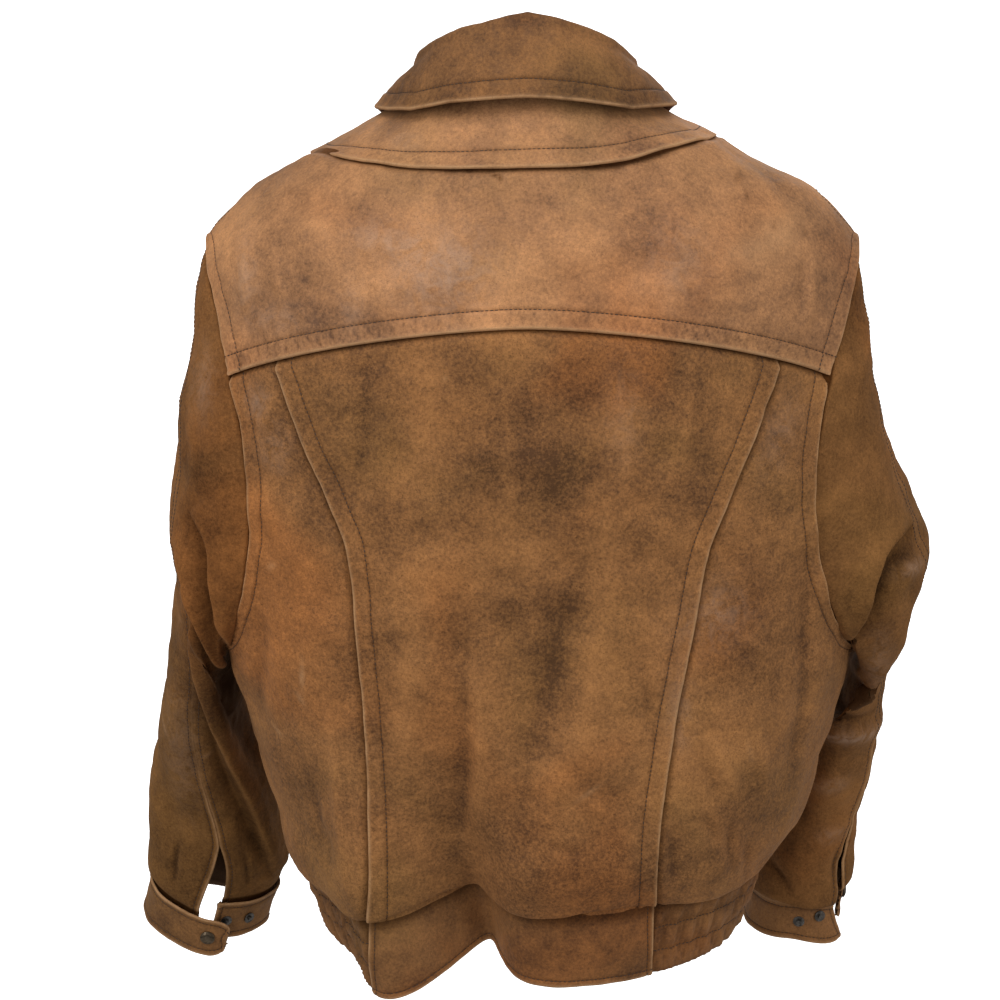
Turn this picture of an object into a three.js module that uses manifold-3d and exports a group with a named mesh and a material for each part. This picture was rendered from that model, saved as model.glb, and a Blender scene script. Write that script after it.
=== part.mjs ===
// A worn leather blouson jacket, filled out as if it were being worn, with nobody in it.
// Millimetres. +Z is up, -Y is the jacket's back, +Y its zipped front, and -X the wearer's left.
// The origin is the middle of the neck opening, level with the back of the neck seam.
//
// Every cloth piece is a leather wall of even thickness. The body pieces are cut from one torso
// surface, which runs through closed rings from the hem edge up to the neck seam. The sleeves start
// on the armhole curves of that surface and run down to the cuffs.

import * as THREE from "three";
import { mergeVertices } from "three/addons/utils/BufferGeometryUtils.js";
import Module from "manifold-3d";

// ---------------------------------------------------------------- driving sizes

const WALL = 2; // leather of the body and sleeves
const BAND_WALL = 3; // doubled leather of the collar and cuffs
const SEAM_GAP = 0.3; // clearance between two pieces at a seam
const DEG = Math.PI / 180;

// Levels, as the height of a ring at the sides of the body.
const NECK_LEVEL = -14;
const SADDLE_LEVEL = -67;
const SHOULDER_LEVEL = -128; // top of the armholes
const UNDERARM_LEVEL = -458;
const HEM_SEAM_LEVEL = -628;
const HEM_LEVEL = -696;

// Torso rings: level, half width to the left, half width to the right, depth to the back, depth to the front.
const TORSO_RINGS = [
  [HEM_LEVEL, 168, 174, 142, 130],
  [-660, 180, 188, 147, 136],
  [HEM_SEAM_LEVEL, 191, 198, 150, 140],
  [-600, 204, 224, 164, 154],
  [-545, 219, 241, 166, 160],
  [-500, 230, 253, 165, 162],
  [UNDERARM_LEVEL, 242, 262, 163, 160],
  [-380, 258, 268, 161, 158],
  [-300, 264, 270, 160, 154],
  [-225, 264, 268, 157, 148],
  [-175, 259, 264, 151, 138],
  [SHOULDER_LEVEL, 247, 254, 140, 125],
  [-92, 214, 221, 127, 112],
  [SADDLE_LEVEL, 173, 176, 116, 103],
  [-38, 119, 121, 99, 92],
  [NECK_LEVEL, 78, 75, 78, 80],
];

// How much higher than its sides a ring is at the back, and how much lower at the front.
const BACK_LIFT = [
  [HEM_SEAM_LEVEL, 0],
  [-90, 0],
  [NECK_LEVEL, 15],
];
const FRONT_DROP = [
  [HEM_LEVEL, -22],
  [HEM_SEAM_LEVEL, -14],
  [-420, 0],
  [-300, 2],
  [-225, 12],
  [SHOULDER_LEVEL, 42],
  [NECK_LEVEL, 62],
];

// Lower seam of the saddle: angle from the back centre, level.
const SADDLE_SEAM = [
  [-180, SADDLE_LEVEL],
  [-120, -65],
  [-90, -64.5],
  [-65, -62.5],
  [-40, -67],
  [-25, -69.3],
  [0, -68.5],
  [20, -66],
  [40, -58],
  [60, -52.7],
  [90, -51],
  [130, -57],
  [180, SADDLE_LEVEL],
];

// Soft folds that open towards the hem: angle from the back centre, half spread, depth and rise at the hem edge.
const HEM_FOLDS = [
  [-17, 11, -54, 17],
  [-37, 12, 17, -19],
  [12, 16, 6, 1],
];
const HEM_FOLD_TOP = -430; // where the folds have died out

// The seams of the back.
const YOKE_CENTRE_LEVEL = -177.5;
const YOKE_DROP = 49; // from the back centre to the armhole
const YOKE_END_ANGLE = 60;
const YOKE_CURVE = 1.65;
// Shaped back seams: level, distance left of the centre, distance right of the centre.
const SHAPED_SEAMS = [
  [HEM_LEVEL, 112, 97],
  [HEM_SEAM_LEVEL, 115, 97],
  [-559, 119, 101],
  [-477, 125, 112],
  [-399, 131, 126],
  [-346, 136, 136],
  [-317, 147, 147],
  [-266, 169, 169],
  [-214, 188, 188],
];

// Armholes: how far they reach round the ring from the side, in degrees, and how low-set that reach is.
const ARMHOLE_BACK_REACH = 36;
const ARMHOLE_FRONT_REACH = 38;
const ARMHOLE_SKEW = 0.18;

// Grid counts. Pieces that share a seam share its points.
const COLUMNS = { centre: 12, side: 6, front: 9 };
const ROWS = { below: 5, sideArm: 6, yokeArm: 4, frontArm: 10, shoulder: 2, saddle: 2, hem: 2 };

// Sleeves: outer line, under line, and the depth vector from the middle to the back, at even stations.
const SLEEVES = {
  left: {
    side: -1,
    outer: [
      [-246, 0, -128], [-258, 0, -180], [-268, 2, -235], [-279, 8, -292], [-289, 18, -346],
      [-288, 32, -398], [-295, 54, -460], [-310, 78, -525], [-322, 98, -590], [-331, 110, -648], [-332, 117, -699],
    ],
    under: [
      [-242, 0, -458], [-251, 9, -466], [-251, 24, -473], [-248, 42, -485], [-242, 60, -502],
      [-234, 78, -528], [-226, 96, -562], [-219, 110, -600], [-214, 120, -644], [-211, 126, -688], [-222, 130, -720],
    ],
    depth: [94, 92, 88, 84, 80, 74, 68, 64, 60, 55, 48],
    backSeamEnd: 90,
    seamBow: 14,
    slitWidth: 16,
    sag: { amount: 14, high: -20, low: 110 },
    cuff: {
      flare: -2, swing: 4, lean: 0, studLift: 0, tabLift: 9, tabReach: 31, liftRun: 56,
      capTurn: 96, studTurns: [111, 134], studPlaces: [0.5, 0.5],
    },
  },
  right: {
    side: 1,
    outer: [
      [252, 0, -128], [262, 0, -180], [271, 2, -235], [286, 8, -290], [309, 18, -338],
      [327, 32, -380], [306, 52, -436], [304, 76, -505], [298, 98, -575], [289, 110, -643], [280, 118, -705],
    ],
    under: [
      [262, 0, -458], [269, 9, -466], [271, 24, -475], [267, 42, -488], [260, 60, -506],
      [250, 78, -531], [238, 95, -562], [225, 109, -598], [213, 118, -638], [204, 124, -677], [197, 129, -715],
    ],
    depth: [94, 92, 88, 84, 80, 74, 68, 64, 58, 52, 46],
    backSeamEnd: 42,
    seamBow: 0,
    slitWidth: 3,
    sag: { amount: 15, high: -255, low: -335 },
    cuff: {
      flare: 0, swing: 2, lean: 20, studLift: 8, tabLift: 1, tabReach: -12, liftRun: 50,
      capTurn: 0, studTurns: [70, 98], studPlaces: [0.28, 0.5],
    },
  },
};
const ARMHOLE_BLEND = 3.2; // stations over which a sleeve leaves the shape of its armhole
const UNDER_SEAM = 188; // angle of the seam under the arm
const SLEEVE_LENGTH = 620; // along a sleeve's stations
const SEAM_BOW_AT = 0.84; // share of a sleeve's length where its back seam bows out
const SEAM_BOW_SPREAD = 0.14;
const SLIT_LENGTH = 90; // opening in the back seam above the cuff
const SAG_STATION = 8.6; // below it a sleeve follows the way its cuff hangs and stands out
const CUFF_HEIGHT = 37;
const WRIST = 55; // half width that a cuff's flare and lift are measured on
const SLEEVE_ROWS = 15;
const CUFF_COLUMNS = 26;
const TAB_CORNER = 10; // rounded corners of the tab
const TAB_CORNER_SHARE = 0.035; // of the strap's length

// Collar, by angle from the back centre: height of the stand, reach of the fall's edge past the neck seam,
// and drop of that edge below the neck seam.
const COLLAR_END = 166;
const COLLAR_COLUMNS = 22;
const COLLAR_SHAPE = [
  [0, 41, 30, 17],
  [45, 30, 34, 20],
  [90, 17, 40, 26],
  [130, 13, 41, 34],
  [COLLAR_END, 9, 30, 58],
];
const FALL_CLEARANCE = 7; // from the leather under the fall to the fall's outer face
const STAND_RISES = [0, 0.35, 0.7, 1];
const STAND_FOOT = 0.7; // above the neck seam
const STAND_LEAN = 5; // outwards at the stand's top
const FOLD_DROP = 5; // from the fold down to the stand's top and the fall's shoulder
const FOLD_REACH = 11; // outwards at the fall's shoulder
const FOLD_INSIDE = 1.5;
const CROWN_RISE = 2.5;
const FALL_RISES = [0, 0.28, 0.625, 1]; // from the fall's edge to its shoulder
const FALL_BELLY = 5;
const STAND_WALL = 2.2;
const FALL_WALL = 2.4;

// Front zip.
const ZIP_HALF_OPENING = 6; // from the centre line to each front edge
const TAPE_WIDTH = 17;
const TAPE_WALL = 1.2;
const TAPE_SINK = 3.6; // from the leather's outer face to the tape's
const CHAIN_WIDTH = 5.6;
const CHAIN_HEIGHT = 2.6;
const CHAIN_SINK = 0.6;
const SLIDER = {
  width: 9, length: 15, height: 2.4, earGap: 5.8, earWall: 1.4, earLength: 4.4, pin: 1, pinHeight: 3.2,
};
const SLIDER_ROW = 15; // the slider sits in the middle of the zip's straight stretch above this row
const PULL = { width: 5, length: 28, thick: 1.6, eye: 2.6, hole: 1.5, rest: 7 * DEG };

// Press studs on the cuffs: rounded caps on the tabs, and two posts on the strap's other end.
const CAP = { radius: 6.4, height: 2.6 };
const STUD = { radius: 5, base: 0.9, post: 2.1, height: 3 };
const STUD_LIFT = 0.5; // over the curved strap
const STUD_SIDES = 14;

// ---------------------------------------------------------------- materials

const leather = (colour, roughness = 0.62) =>
  new THREE.MeshStandardMaterial({ color: colour, roughness, metalness: 0 });
const MATERIALS = {
  back: leather(0x96683f),
  yoke: leather(0xa6744a),
  front: leather(0x8f623b),
  sleeve: leather(0x7d5633, 0.58),
  trim: leather(0x8a5f39),
  tape: new THREE.MeshStandardMaterial({ color: 0x4a3524, roughness: 0.9, metalness: 0 }),
  brass: new THREE.MeshStandardMaterial({ color: 0x5d4c33, roughness: 0.42, metalness: 0.9 }),
};

const jacket = new THREE.Group();
const wasm = await Module();
wasm.setup();

// ---------------------------------------------------------------- curves and tables

// Smooth value of column `column` of a table, whose first column rises or falls evenly.
function tableAt(table, key, column) {
  const rising = table[0][0] < table[table.length - 1][0];
  const inside = (k) => (rising ? key >= table[k][0] : key <= table[k][0]);
  let k = 0;
  while (k < table.length - 2 && inside(k + 1)) k++;
  const row = (n) => table[Math.min(table.length - 1, Math.max(0, n))];
  const [p0, p1, p2, p3] = [row(k - 1), row(k), row(k + 1), row(k + 2)];
  const span = p2[0] - p1[0];
  const t = Math.min(1, Math.max(0, (key - p1[0]) / span));
  const slope = (a, b) => (b[0] === a[0] ? 0 : ((b[column] - a[column]) / (b[0] - a[0])) * span);
  const m1 = k > 0 ? slope(p0, p2) : slope(p1, p2);
  const m2 = k + 2 < table.length ? slope(p1, p3) : slope(p1, p2);
  const t2 = t * t;
  const t3 = t2 * t;
  const start = (2 * t3 - 3 * t2 + 1) * p1[column] + (t3 - 2 * t2 + t) * m1;
  return start + (3 * t2 - 2 * t3) * p2[column] + (t3 - t2) * m2;
}

const mix = (a, b, t) => a + (b - a) * t;
const smooth = (t) => {
  const c = Math.min(1, Math.max(0, t));
  return c * c * (3 - 2 * c);
};

// ---------------------------------------------------------------- torso surface

// A point of the torso. `angle` runs in degrees from the back centre, positive to the right; 180 is the zip.
function torso(angle, level) {
  const a = angle * DEG;
  const half = tableAt(TORSO_RINGS, level, Math.sin(a) < 0 ? 1 : 2);
  const depth = tableAt(TORSO_RINGS, level, Math.cos(a) > 0 ? 3 : 4);
  const fade = smooth((HEM_FOLD_TOP - level) / (HEM_FOLD_TOP - HEM_LEVEL));
  let fold = 0;
  let rise = 0;
  for (const [at, spread, deep, high] of HEM_FOLDS) {
    const share = fade * Math.exp(-(((angle - at) / spread) ** 2));
    fold += deep * share;
    rise += high * share * fade;
  }
  const back = Math.max(0, Math.cos(a)) ** 2;
  const front = Math.max(0, -Math.cos(a)) ** 2;
  const z = level + tableAt(BACK_LIFT, level, 1) * back - tableAt(FRONT_DROP, level, 1) * front + rise;
  const away = new THREE.Vector2(half * Math.sin(a), -depth * Math.cos(a));
  const grown = away.clone().setLength(away.length() + fold);
  return new THREE.Vector3(grown.x, grown.y, z);
}

// The outward normal of a surface point(u, v), from its slopes.
function normalOf(point, u, v, du, dv) {
  const along = point(u + du, v).sub(point(u - du, v));
  const up = point(u, v + dv).sub(point(u, v - dv));
  return along.cross(up).normalize();
}

const torsoNormal = (angle, level) => {
  const top = Math.min(level, NECK_LEVEL - 2);
  return normalOf(torso, angle, Math.max(top, HEM_LEVEL + 2), 1, 2);
};

// A point on an armhole. `turn` is 0 at the shoulder, 180 at the underarm, through the back, and on to 360.
function armhole(side, turn) {
  const level = mix(UNDERARM_LEVEL, SHOULDER_LEVEL, (1 + Math.cos(turn * DEG)) / 2);
  const wrapped = ((turn % 360) + 360) % 360;
  const isBack = wrapped <= 180;
  const down = isBack ? wrapped : 360 - wrapped;
  const reach = (isBack ? ARMHOLE_BACK_REACH : ARMHOLE_FRONT_REACH) * (1 + (ARMHOLE_SKEW * (down - 90)) / 90);
  const offset = reach * Math.sin(down * DEG);
  return { angle: side * (90 - (isBack ? offset : -offset)), level };
}

const yokeLevel = (angle) =>
  YOKE_CENTRE_LEVEL - YOKE_DROP * (Math.abs(angle) / YOKE_END_ANGLE) ** YOKE_CURVE;
const yokeTurn = (() => {
  // Where the yoke seam meets an armhole.
  let turn = 90;
  for (let n = 0; n < 40; n++) {
    const at = armhole(1, turn);
    turn += (at.level - yokeLevel(at.angle)) * 0.2;
  }
  return turn;
})();

// The angle of a shaped back seam at a level.
function shapedSeam(side, level) {
  const across = tableAt(SHAPED_SEAMS, level, side < 0 ? 1 : 2);
  return (side * Math.asin(Math.min(0.99, across / tableAt(TORSO_RINGS, level, side < 0 ? 1 : 2)))) / DEG;
}
const shapedSeamTop = (side) => {
  let level = -200;
  for (let n = 0; n < 20; n++) level = yokeLevel(shapedSeam(side, level));
  return { angle: shapedSeam(side, level), level };
};

// ---------------------------------------------------------------- closed walls from grids

// A closed wall. `grid` is rows of { point, normal }; the wall lies inside the points by `thick`.
// Each open edge is drawn back by half a seam gap.
function wall(grid, thick, trim = SEAM_GAP / 2) {
  const rows = grid.length;
  const cols = grid[0].length;
  const outer = grid.map((row) => row.map((g) => g.point.clone()));
  const pull = (j, i, toJ, toI) => {
    const step = grid[toJ][toI].point.clone().sub(grid[j][i].point);
    if (step.length() > 1e-6) outer[j][i].add(step.setLength(trim));
  };
  for (let i = 0; i < cols; i++) {
    pull(0, i, 1, i);
    pull(rows - 1, i, rows - 2, i);
  }
  for (let j = 0; j < rows; j++) {
    pull(j, 0, j, 1);
    pull(j, cols - 1, j, cols - 2);
  }
  const inner = outer.map((row, j) => row.map((p, i) => p.clone().addScaledVector(grid[j][i].normal, -thick)));
  const positions = [];
  const triangle = (a, b, c) => positions.push(...a.toArray(), ...b.toArray(), ...c.toArray());
  const quad = (a, b, c, d) => {
    // Split along the shorter diagonal.
    if (a.distanceTo(c) <= b.distanceTo(d)) {
      triangle(a, b, c);
      triangle(a, c, d);
    } else {
      triangle(a, b, d);
      triangle(b, c, d);
    }
  };
  for (let j = 0; j < rows - 1; j++) {
    for (let i = 0; i < cols - 1; i++) {
      quad(outer[j][i], outer[j][i + 1], outer[j + 1][i + 1], outer[j + 1][i]);
      quad(inner[j][i], inner[j + 1][i], inner[j + 1][i + 1], inner[j][i + 1]);
    }
  }
  for (let i = 0; i < cols - 1; i++) {
    quad(outer[0][i + 1], outer[0][i], inner[0][i], inner[0][i + 1]);
    quad(outer[rows - 1][i], outer[rows - 1][i + 1], inner[rows - 1][i + 1], inner[rows - 1][i]);
  }
  for (let j = 0; j < rows - 1; j++) {
    quad(outer[j][0], outer[j + 1][0], inner[j + 1][0], inner[j][0]);
    quad(outer[j + 1][cols - 1], outer[j][cols - 1], inner[j][cols - 1], inner[j + 1][cols - 1]);
  }
  const geometry = new THREE.BufferGeometry();
  geometry.setAttribute("position", new THREE.Float32BufferAttribute(positions, 3));
  geometry.computeVertexNormals();
  return geometry;
}

function add(name, geometry, material, parent = jacket) {
  const mesh = new THREE.Mesh(geometry, material);
  mesh.name = name;
  parent.add(mesh);
  return mesh;
}

// ---------------------------------------------------------------- seam lines of the body

// Each body seam is a list of { angle, level } from the hem upwards, and keeps its own count of points.
const evenly = (count, from, to) => Array.from({ length: count + 1 }, (_, n) => mix(from, to, n / count));
const sideStops = (side, count, from, to) => evenly(count, from, to).map((level) => ({ angle: side * 90, level }));

const zipAngle = (side, level) => {
  const half = tableAt(TORSO_RINGS, level, side < 0 ? 1 : 2);
  return side * (180 - Math.asin(ZIP_HALF_OPENING / half) / DEG);
};

const saddleLevel = (angle) => tableAt(SADDLE_SEAM, angle, 1);

function sideLine(side) {
  // Side seam, then the back of the armhole up to the yoke.
  const below = sideStops(side, ROWS.below, HEM_SEAM_LEVEL, UNDERARM_LEVEL);
  const arm = evenly(ROWS.sideArm, 180, yokeTurn).map((turn) => armhole(side, turn));
  return [...below, ...arm.slice(1)];
}

function shapedLine(side) {
  const top = shapedSeamTop(side);
  const outside = sideLine(side);
  const highest = outside[outside.length - 1].level;
  return outside.map(({ level }) => {
    const share = (level - HEM_SEAM_LEVEL) / (highest - HEM_SEAM_LEVEL);
    const at = mix(HEM_SEAM_LEVEL, top.level, share);
    return { angle: shapedSeam(side, at), level: at };
  });
}

function yokeSideLine(side) {
  // The back of the armhole above the yoke seam, then the shoulder seam.
  const arm = evenly(ROWS.yokeArm, yokeTurn, 0).map((turn) => armhole(side, turn));
  const shoulder = sideStops(side, ROWS.shoulder, SHOULDER_LEVEL, saddleLevel(side * 90));
  return [...arm, ...shoulder.slice(1)];
}

function frontSideLine(side) {
  const below = sideStops(side, ROWS.below, HEM_SEAM_LEVEL, UNDERARM_LEVEL);
  const arm = evenly(ROWS.frontArm, 180, 360).map((turn) => armhole(side, turn));
  const shoulder = sideStops(side, ROWS.shoulder, SHOULDER_LEVEL, saddleLevel(side * 90));
  return [...below, ...arm.slice(1), ...shoulder.slice(1)];
}

const zipLine = (side, like) =>
  like.map((_, n) => {
    const level = mix(HEM_SEAM_LEVEL, SADDLE_LEVEL, n / (like.length - 1));
    return { angle: zipAngle(side, level), level };
  });

// A grid between two lines of the same count, with the wall's normals. The lines of a ring's right-hand
// end come last, so that every wall faces outwards.
function bodyGrid(lineA, lineB, columns, { rimNormal, topLevel } = {}) {
  const last = lineA.length - 1;
  return lineA.map((from, j) => {
    const to = lineB[j];
    return evenly(columns, 0, 1).map((t) => {
      const angle = mix(from.angle, to.angle, t);
      let level = mix(from.level, to.level, t);
      if (topLevel) {
        // The rows bend into the curve of the top edge.
        const top = topLevel(mix(lineA[last].angle, lineB[last].angle, t));
        level += (top - mix(lineA[last].level, lineB[last].level, t)) * (j / last) ** 2;
      }
      const rim = rimNormal && rimNormal(j, t);
      return { point: torso(angle, level), normal: rim || torsoNormal(angle, level) };
    });
  });
}

// ---------------------------------------------------------------- sleeves

const stationAt = (list, k) => {
  // Smooth point of a sleeve line at station k.
  const table = list.map((p, n) => [n, ...(Array.isArray(p) ? p : [p])]);
  return table[0].slice(1).map((_, column) => tableAt(table, k, column + 1));
};
const LAST_STATION = SLEEVES.left.outer.length - 1;

function sleeveFrame(sleeve, k) {
  const outer = new THREE.Vector3(...stationAt(sleeve.outer, k));
  const under = new THREE.Vector3(...stationAt(sleeve.under, k));
  const [depth] = stationAt(sleeve.depth, k);
  const centre = outer.clone().add(under).multiplyScalar(0.5);
  const across = outer.clone().sub(under).multiplyScalar(0.5);
  const before = stationAt(sleeve.outer, k - 0.5).map((c, n) => c + stationAt(sleeve.under, k - 0.5)[n]);
  const after = stationAt(sleeve.outer, k + 0.5).map((c, n) => c + stationAt(sleeve.under, k + 0.5)[n]);
  const along = new THREE.Vector3(...after).sub(new THREE.Vector3(...before)).normalize();
  const back = new THREE.Vector3(0, -1, 0);
  back.addScaledVector(along, -back.dot(along)).setLength(depth);
  return { centre, across, back, along };
}

// A point of a sleeve's tube. `turn` follows the armhole: 0 is the outer line, 90 the back, 180 under the arm.
function sleevePoint(sleeve, turn, k) {
  const ellipse = (frame) =>
    frame.centre
      .clone()
      .addScaledVector(frame.across, Math.cos(turn * DEG))
      .addScaledVector(frame.back, Math.sin(turn * DEG));
  const point = ellipse(sleeveFrame(sleeve, k));
  const leave = 1 - smooth(k / ARMHOLE_BLEND);
  if (leave > 0) {
    const at = armhole(sleeve.side, turn);
    point.addScaledVector(torso(at.angle, at.level).sub(ellipse(sleeveFrame(sleeve, 0))), leave);
  }
  return point;
}

const sleeveNormal = (sleeve, turn, k) => {
  const at = Math.min(LAST_STATION - 0.02, Math.max(0.06, k));
  return normalOf((u, v) => sleevePoint(sleeve, u, v), turn, at, 2, 0.06).multiplyScalar(sleeve.side);
};

// At an armhole, both walls lean halfway between the body's normal and the sleeve's.
function armholeNormal(sleeve, turn) {
  const at = armhole(sleeve.side, turn);
  return torsoNormal(at.angle, at.level).add(sleeveNormal(sleeve, turn, 0)).normalize();
}

// Columns of a sleeve piece at station k: the armhole's own points at the top, evenly spread by the cuff.
function sleeveTurns(k, from, to, topTurns) {
  const share = smooth(k / (LAST_STATION * 0.6));
  return topTurns.map((top, n) => {
    const t = n / (topTurns.length - 1);
    const scaled = mix(from, to, (top - topTurns[0]) / (topTurns[topTurns.length - 1] - topTurns[0]));
    return mix(scaled, mix(from, to, t), share);
  });
}

// How much lower a sleeve's end and its cuff hang at a turn of the strap.
const sagAt = ({ sag }, turn) => sag.amount * smooth((turn - sag.high) / (sag.low - sag.high));

// How far out the strap and the sleeve's end above it stand towards the tab.
const tabLiftAt = (sleeve, turn) =>
  sleeve.cuff.tabLift * smooth(1 + (turn - strapEnds(sleeve).end) / sleeve.cuff.liftRun);

function sleeveGrid(sleeve, piece) {
  const backTurns = [...evenly(ROWS.yokeArm, 0, yokeTurn), ...evenly(ROWS.sideArm, yokeTurn, 180).slice(1)];
  const frontTurns = evenly(ROWS.frontArm, -180, 0);
  const seamTop = backTurns[1];
  const isUpper = piece === "upper";
  const top = isUpper ? [...frontTurns, seamTop] : backTurns.slice(1);
  return evenly(SLEEVE_ROWS, 0, LAST_STATION).map((k, j) => {
    const run = k / LAST_STATION;
    const bow = sleeve.seamBow * Math.exp(-(((run - SEAM_BOW_AT) / SEAM_BOW_SPREAD) ** 2));
    const seam = mix(seamTop, sleeve.backSeamEnd, (smooth(run) + run) / 2) + bow;
    const underSeam = mix(180, UNDER_SEAM, smooth(k / 2));
    const into = Math.max(0, 1 - ((1 - run) * SLEEVE_LENGTH) / SLIT_LENGTH);
    const slit = (sleeve.slitWidth / 2) * into * (2 - into);
    const halfSlit = slit / stationAt(sleeve.depth, k)[0] / DEG;
    const [from, to] = isUpper ? [underSeam - 360, seam - halfSlit] : [seam + halfSlit, underSeam];
    const { centre, along } = sleeveFrame(sleeve, k);
    const near = smooth((k - SAG_STATION) / (LAST_STATION - SAG_STATION));
    return sleeveTurns(k, from, to, top).map((turn) => {
      const strapTurn = isUpper ? turn : turn - 360;
      const point = sleevePoint(sleeve, turn, k);
      const out = point.clone().sub(centre).multiplyScalar((near * tabLiftAt(sleeve, strapTurn)) / WRIST);
      return {
        point: point.add(out).addScaledVector(along, near * sagAt(sleeve, strapTurn)),
        normal: j === 0 ? armholeNormal(sleeve, turn) : sleeveNormal(sleeve, turn, k),
      };
    });
  });
}

// The cuff is one strap: it starts on the under side of the slit, goes round the wrist and ends in a tab.
const strapEnds = ({ backSeamEnd, slitWidth, depth, cuff }) => {
  const halfSlit = (slitWidth / 2 / depth[LAST_STATION]) / DEG;
  return { start: backSeamEnd + halfSlit - 360, end: backSeamEnd - halfSlit + cuff.tabReach };
};

// A place on the strap, `along` it from 0 to 1, and `across` it from its top edge to its bottom edge.
function strapPoint(sleeve, along, across) {
  const { swing, lean, studLift, liftRun } = sleeve.cuff;
  const { start, end } = strapEnds(sleeve);
  const turn = mix(start - lean * across, end, along);
  const flare = sleeve.cuff.flare + studLift * smooth(1 - (turn - start) / liftRun);
  const into = Math.max(0, (along - 1) / TAB_CORNER_SHARE + 1);
  const corner = TAB_CORNER * (1 - Math.sqrt(1 - into ** 2));
  const down = 2 * SEAM_GAP + mix(corner, CUFF_HEIGHT - corner, across);
  const share = down / CUFF_HEIGHT;
  const grow = 1 + (flare * share + tabLiftAt(sleeve, turn)) / WRIST;
  const frame = sleeveFrame(sleeve, LAST_STATION);
  return frame.centre
    .clone()
    .addScaledVector(frame.along, down + sagAt(sleeve, turn))
    .addScaledVector(frame.across.clone().normalize(), swing * share)
    .addScaledVector(frame.across, grow * Math.cos(turn * DEG))
    .addScaledVector(frame.back, grow * Math.sin(turn * DEG));
}

const strapNormal = (sleeve, along, across) => {
  const inside = Math.min(0.99, Math.max(0.01, along));
  return normalOf((u, v) => strapPoint(sleeve, u, v), inside, across, 0.008, 0.02).multiplyScalar(sleeve.side);
};

// ---------------------------------------------------------------- body pieces

for (const sleeve of Object.values(SLEEVES)) {
  const { side } = sleeve;
  const word = side < 0 ? "left" : "right";
  const ordered = (a, b) => (side < 0 ? [b, a] : [a, b]);
  const isRim = (t, edge) => t === (side < 0 ? 1 - edge : edge);

  add(
    `back_side_${word}`,
    wall(
      bodyGrid(...ordered(shapedLine(side), sideLine(side)), COLUMNS.side, {
        rimNormal: (j, t) => {
          if (!isRim(t, 1) || j < ROWS.below) return null;
          return armholeNormal(sleeve, mix(180, yokeTurn, (j - ROWS.below) / ROWS.sideArm));
        },
        topLevel: yokeLevel,
      }),
      WALL,
    ),
    MATERIALS.back,
  );

  const frontSide = frontSideLine(side);
  add(
    `front_${word}`,
    wall(
      bodyGrid(...ordered(frontSide, zipLine(side, frontSide)), COLUMNS.front, {
        rimNormal: (j, t) => {
          const into = j - ROWS.below;
          if (!isRim(t, 0) || into < 0 || into > ROWS.frontArm) return null;
          return armholeNormal(sleeve, mix(180, 360, into / ROWS.frontArm));
        },
        topLevel: saddleLevel,
      }),
      WALL,
    ),
    MATERIALS.front,
  );
}

add(
  "back_centre",
  wall(bodyGrid(shapedLine(-1), shapedLine(1), COLUMNS.centre, { topLevel: yokeLevel }), WALL),
  MATERIALS.back,
);

// Columns of the back along the yoke seam, shared by the pieces below it, as angles.
function backColumns() {
  const pick = (line) => line[line.length - 1].angle;
  const [armL, seamL, seamR, armR] = [sideLine(-1), shapedLine(-1), shapedLine(1), sideLine(1)].map(pick);
  return [
    ...evenly(COLUMNS.side, armL, seamL),
    ...evenly(COLUMNS.centre, seamL, seamR).slice(1),
    ...evenly(COLUMNS.side, seamR, armR).slice(1),
  ];
}

// The yoke, from its seam up to the saddle and the shoulder seams.
function yokeGrid() {
  const [left, right] = [yokeSideLine(-1), yokeSideLine(1)];
  const top = [saddleLevel(-90), saddleLevel(90)];
  const columns = backColumns();
  const spread = columns.map((angle) => (angle - columns[0]) / (columns[columns.length - 1] - columns[0]));
  return left.map((from, j) => {
    const rise = j / (left.length - 1);
    return spread.map((t, i) => {
      const angle = mix(from.angle, right[j].angle, t);
      const straight = mix(left[0].level, right[0].level, t);
      const bow = (yokeLevel(columns[i]) - straight) * (1 - rise) ** 1.5;
      const climb = (saddleLevel(mix(-90, 90, t)) - mix(top[0], top[1], t)) * rise ** 2;
      const level = mix(from.level, right[j].level, t) + bow + climb;
      const end = t === 0 ? SLEEVES.left : t === 1 ? SLEEVES.right : null;
      const normal =
        end && j <= ROWS.yokeArm
          ? armholeNormal(end, mix(yokeTurn, 0, j / ROWS.yokeArm))
          : torsoNormal(angle, level);
      return { point: torso(angle, level), normal };
    });
  });
}

add("back_yoke", wall(yokeGrid(), WALL), MATERIALS.yoke);

// The saddle runs round the neck, over both shoulders, from front edge to front edge.
function saddleColumns() {
  const back = backColumns();
  const spread = back.map((angle) => mix(-90, 90, (angle - back[0]) / (back[back.length - 1] - back[0])));
  const frontRight = evenly(COLUMNS.front, 90, zipAngle(1, SADDLE_LEVEL)).slice(1);
  const frontLeft = evenly(COLUMNS.front, zipAngle(-1, SADDLE_LEVEL), -90).slice(0, -1);
  return [...frontLeft, ...spread, ...frontRight];
}
add(
  "neck_saddle",
  wall(
    evenly(ROWS.saddle, 0, 1).map((rise) =>
      saddleColumns().map((angle) => {
        const level = mix(saddleLevel(angle), NECK_LEVEL, rise);
        return { point: torso(angle, level), normal: torsoNormal(angle, level) };
      }),
    ),
    WALL,
  ),
  MATERIALS.yoke,
);

// ---------------------------------------------------------------- hem band

// The band's columns stand under the columns of the panels above, and its front tab is the last four.
const TAB_COLUMNS = 4;
const hemEnd = (side, level) => mix(side * 90, zipAngle(side, level), 1 - TAB_COLUMNS / COLUMNS.front);

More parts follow.
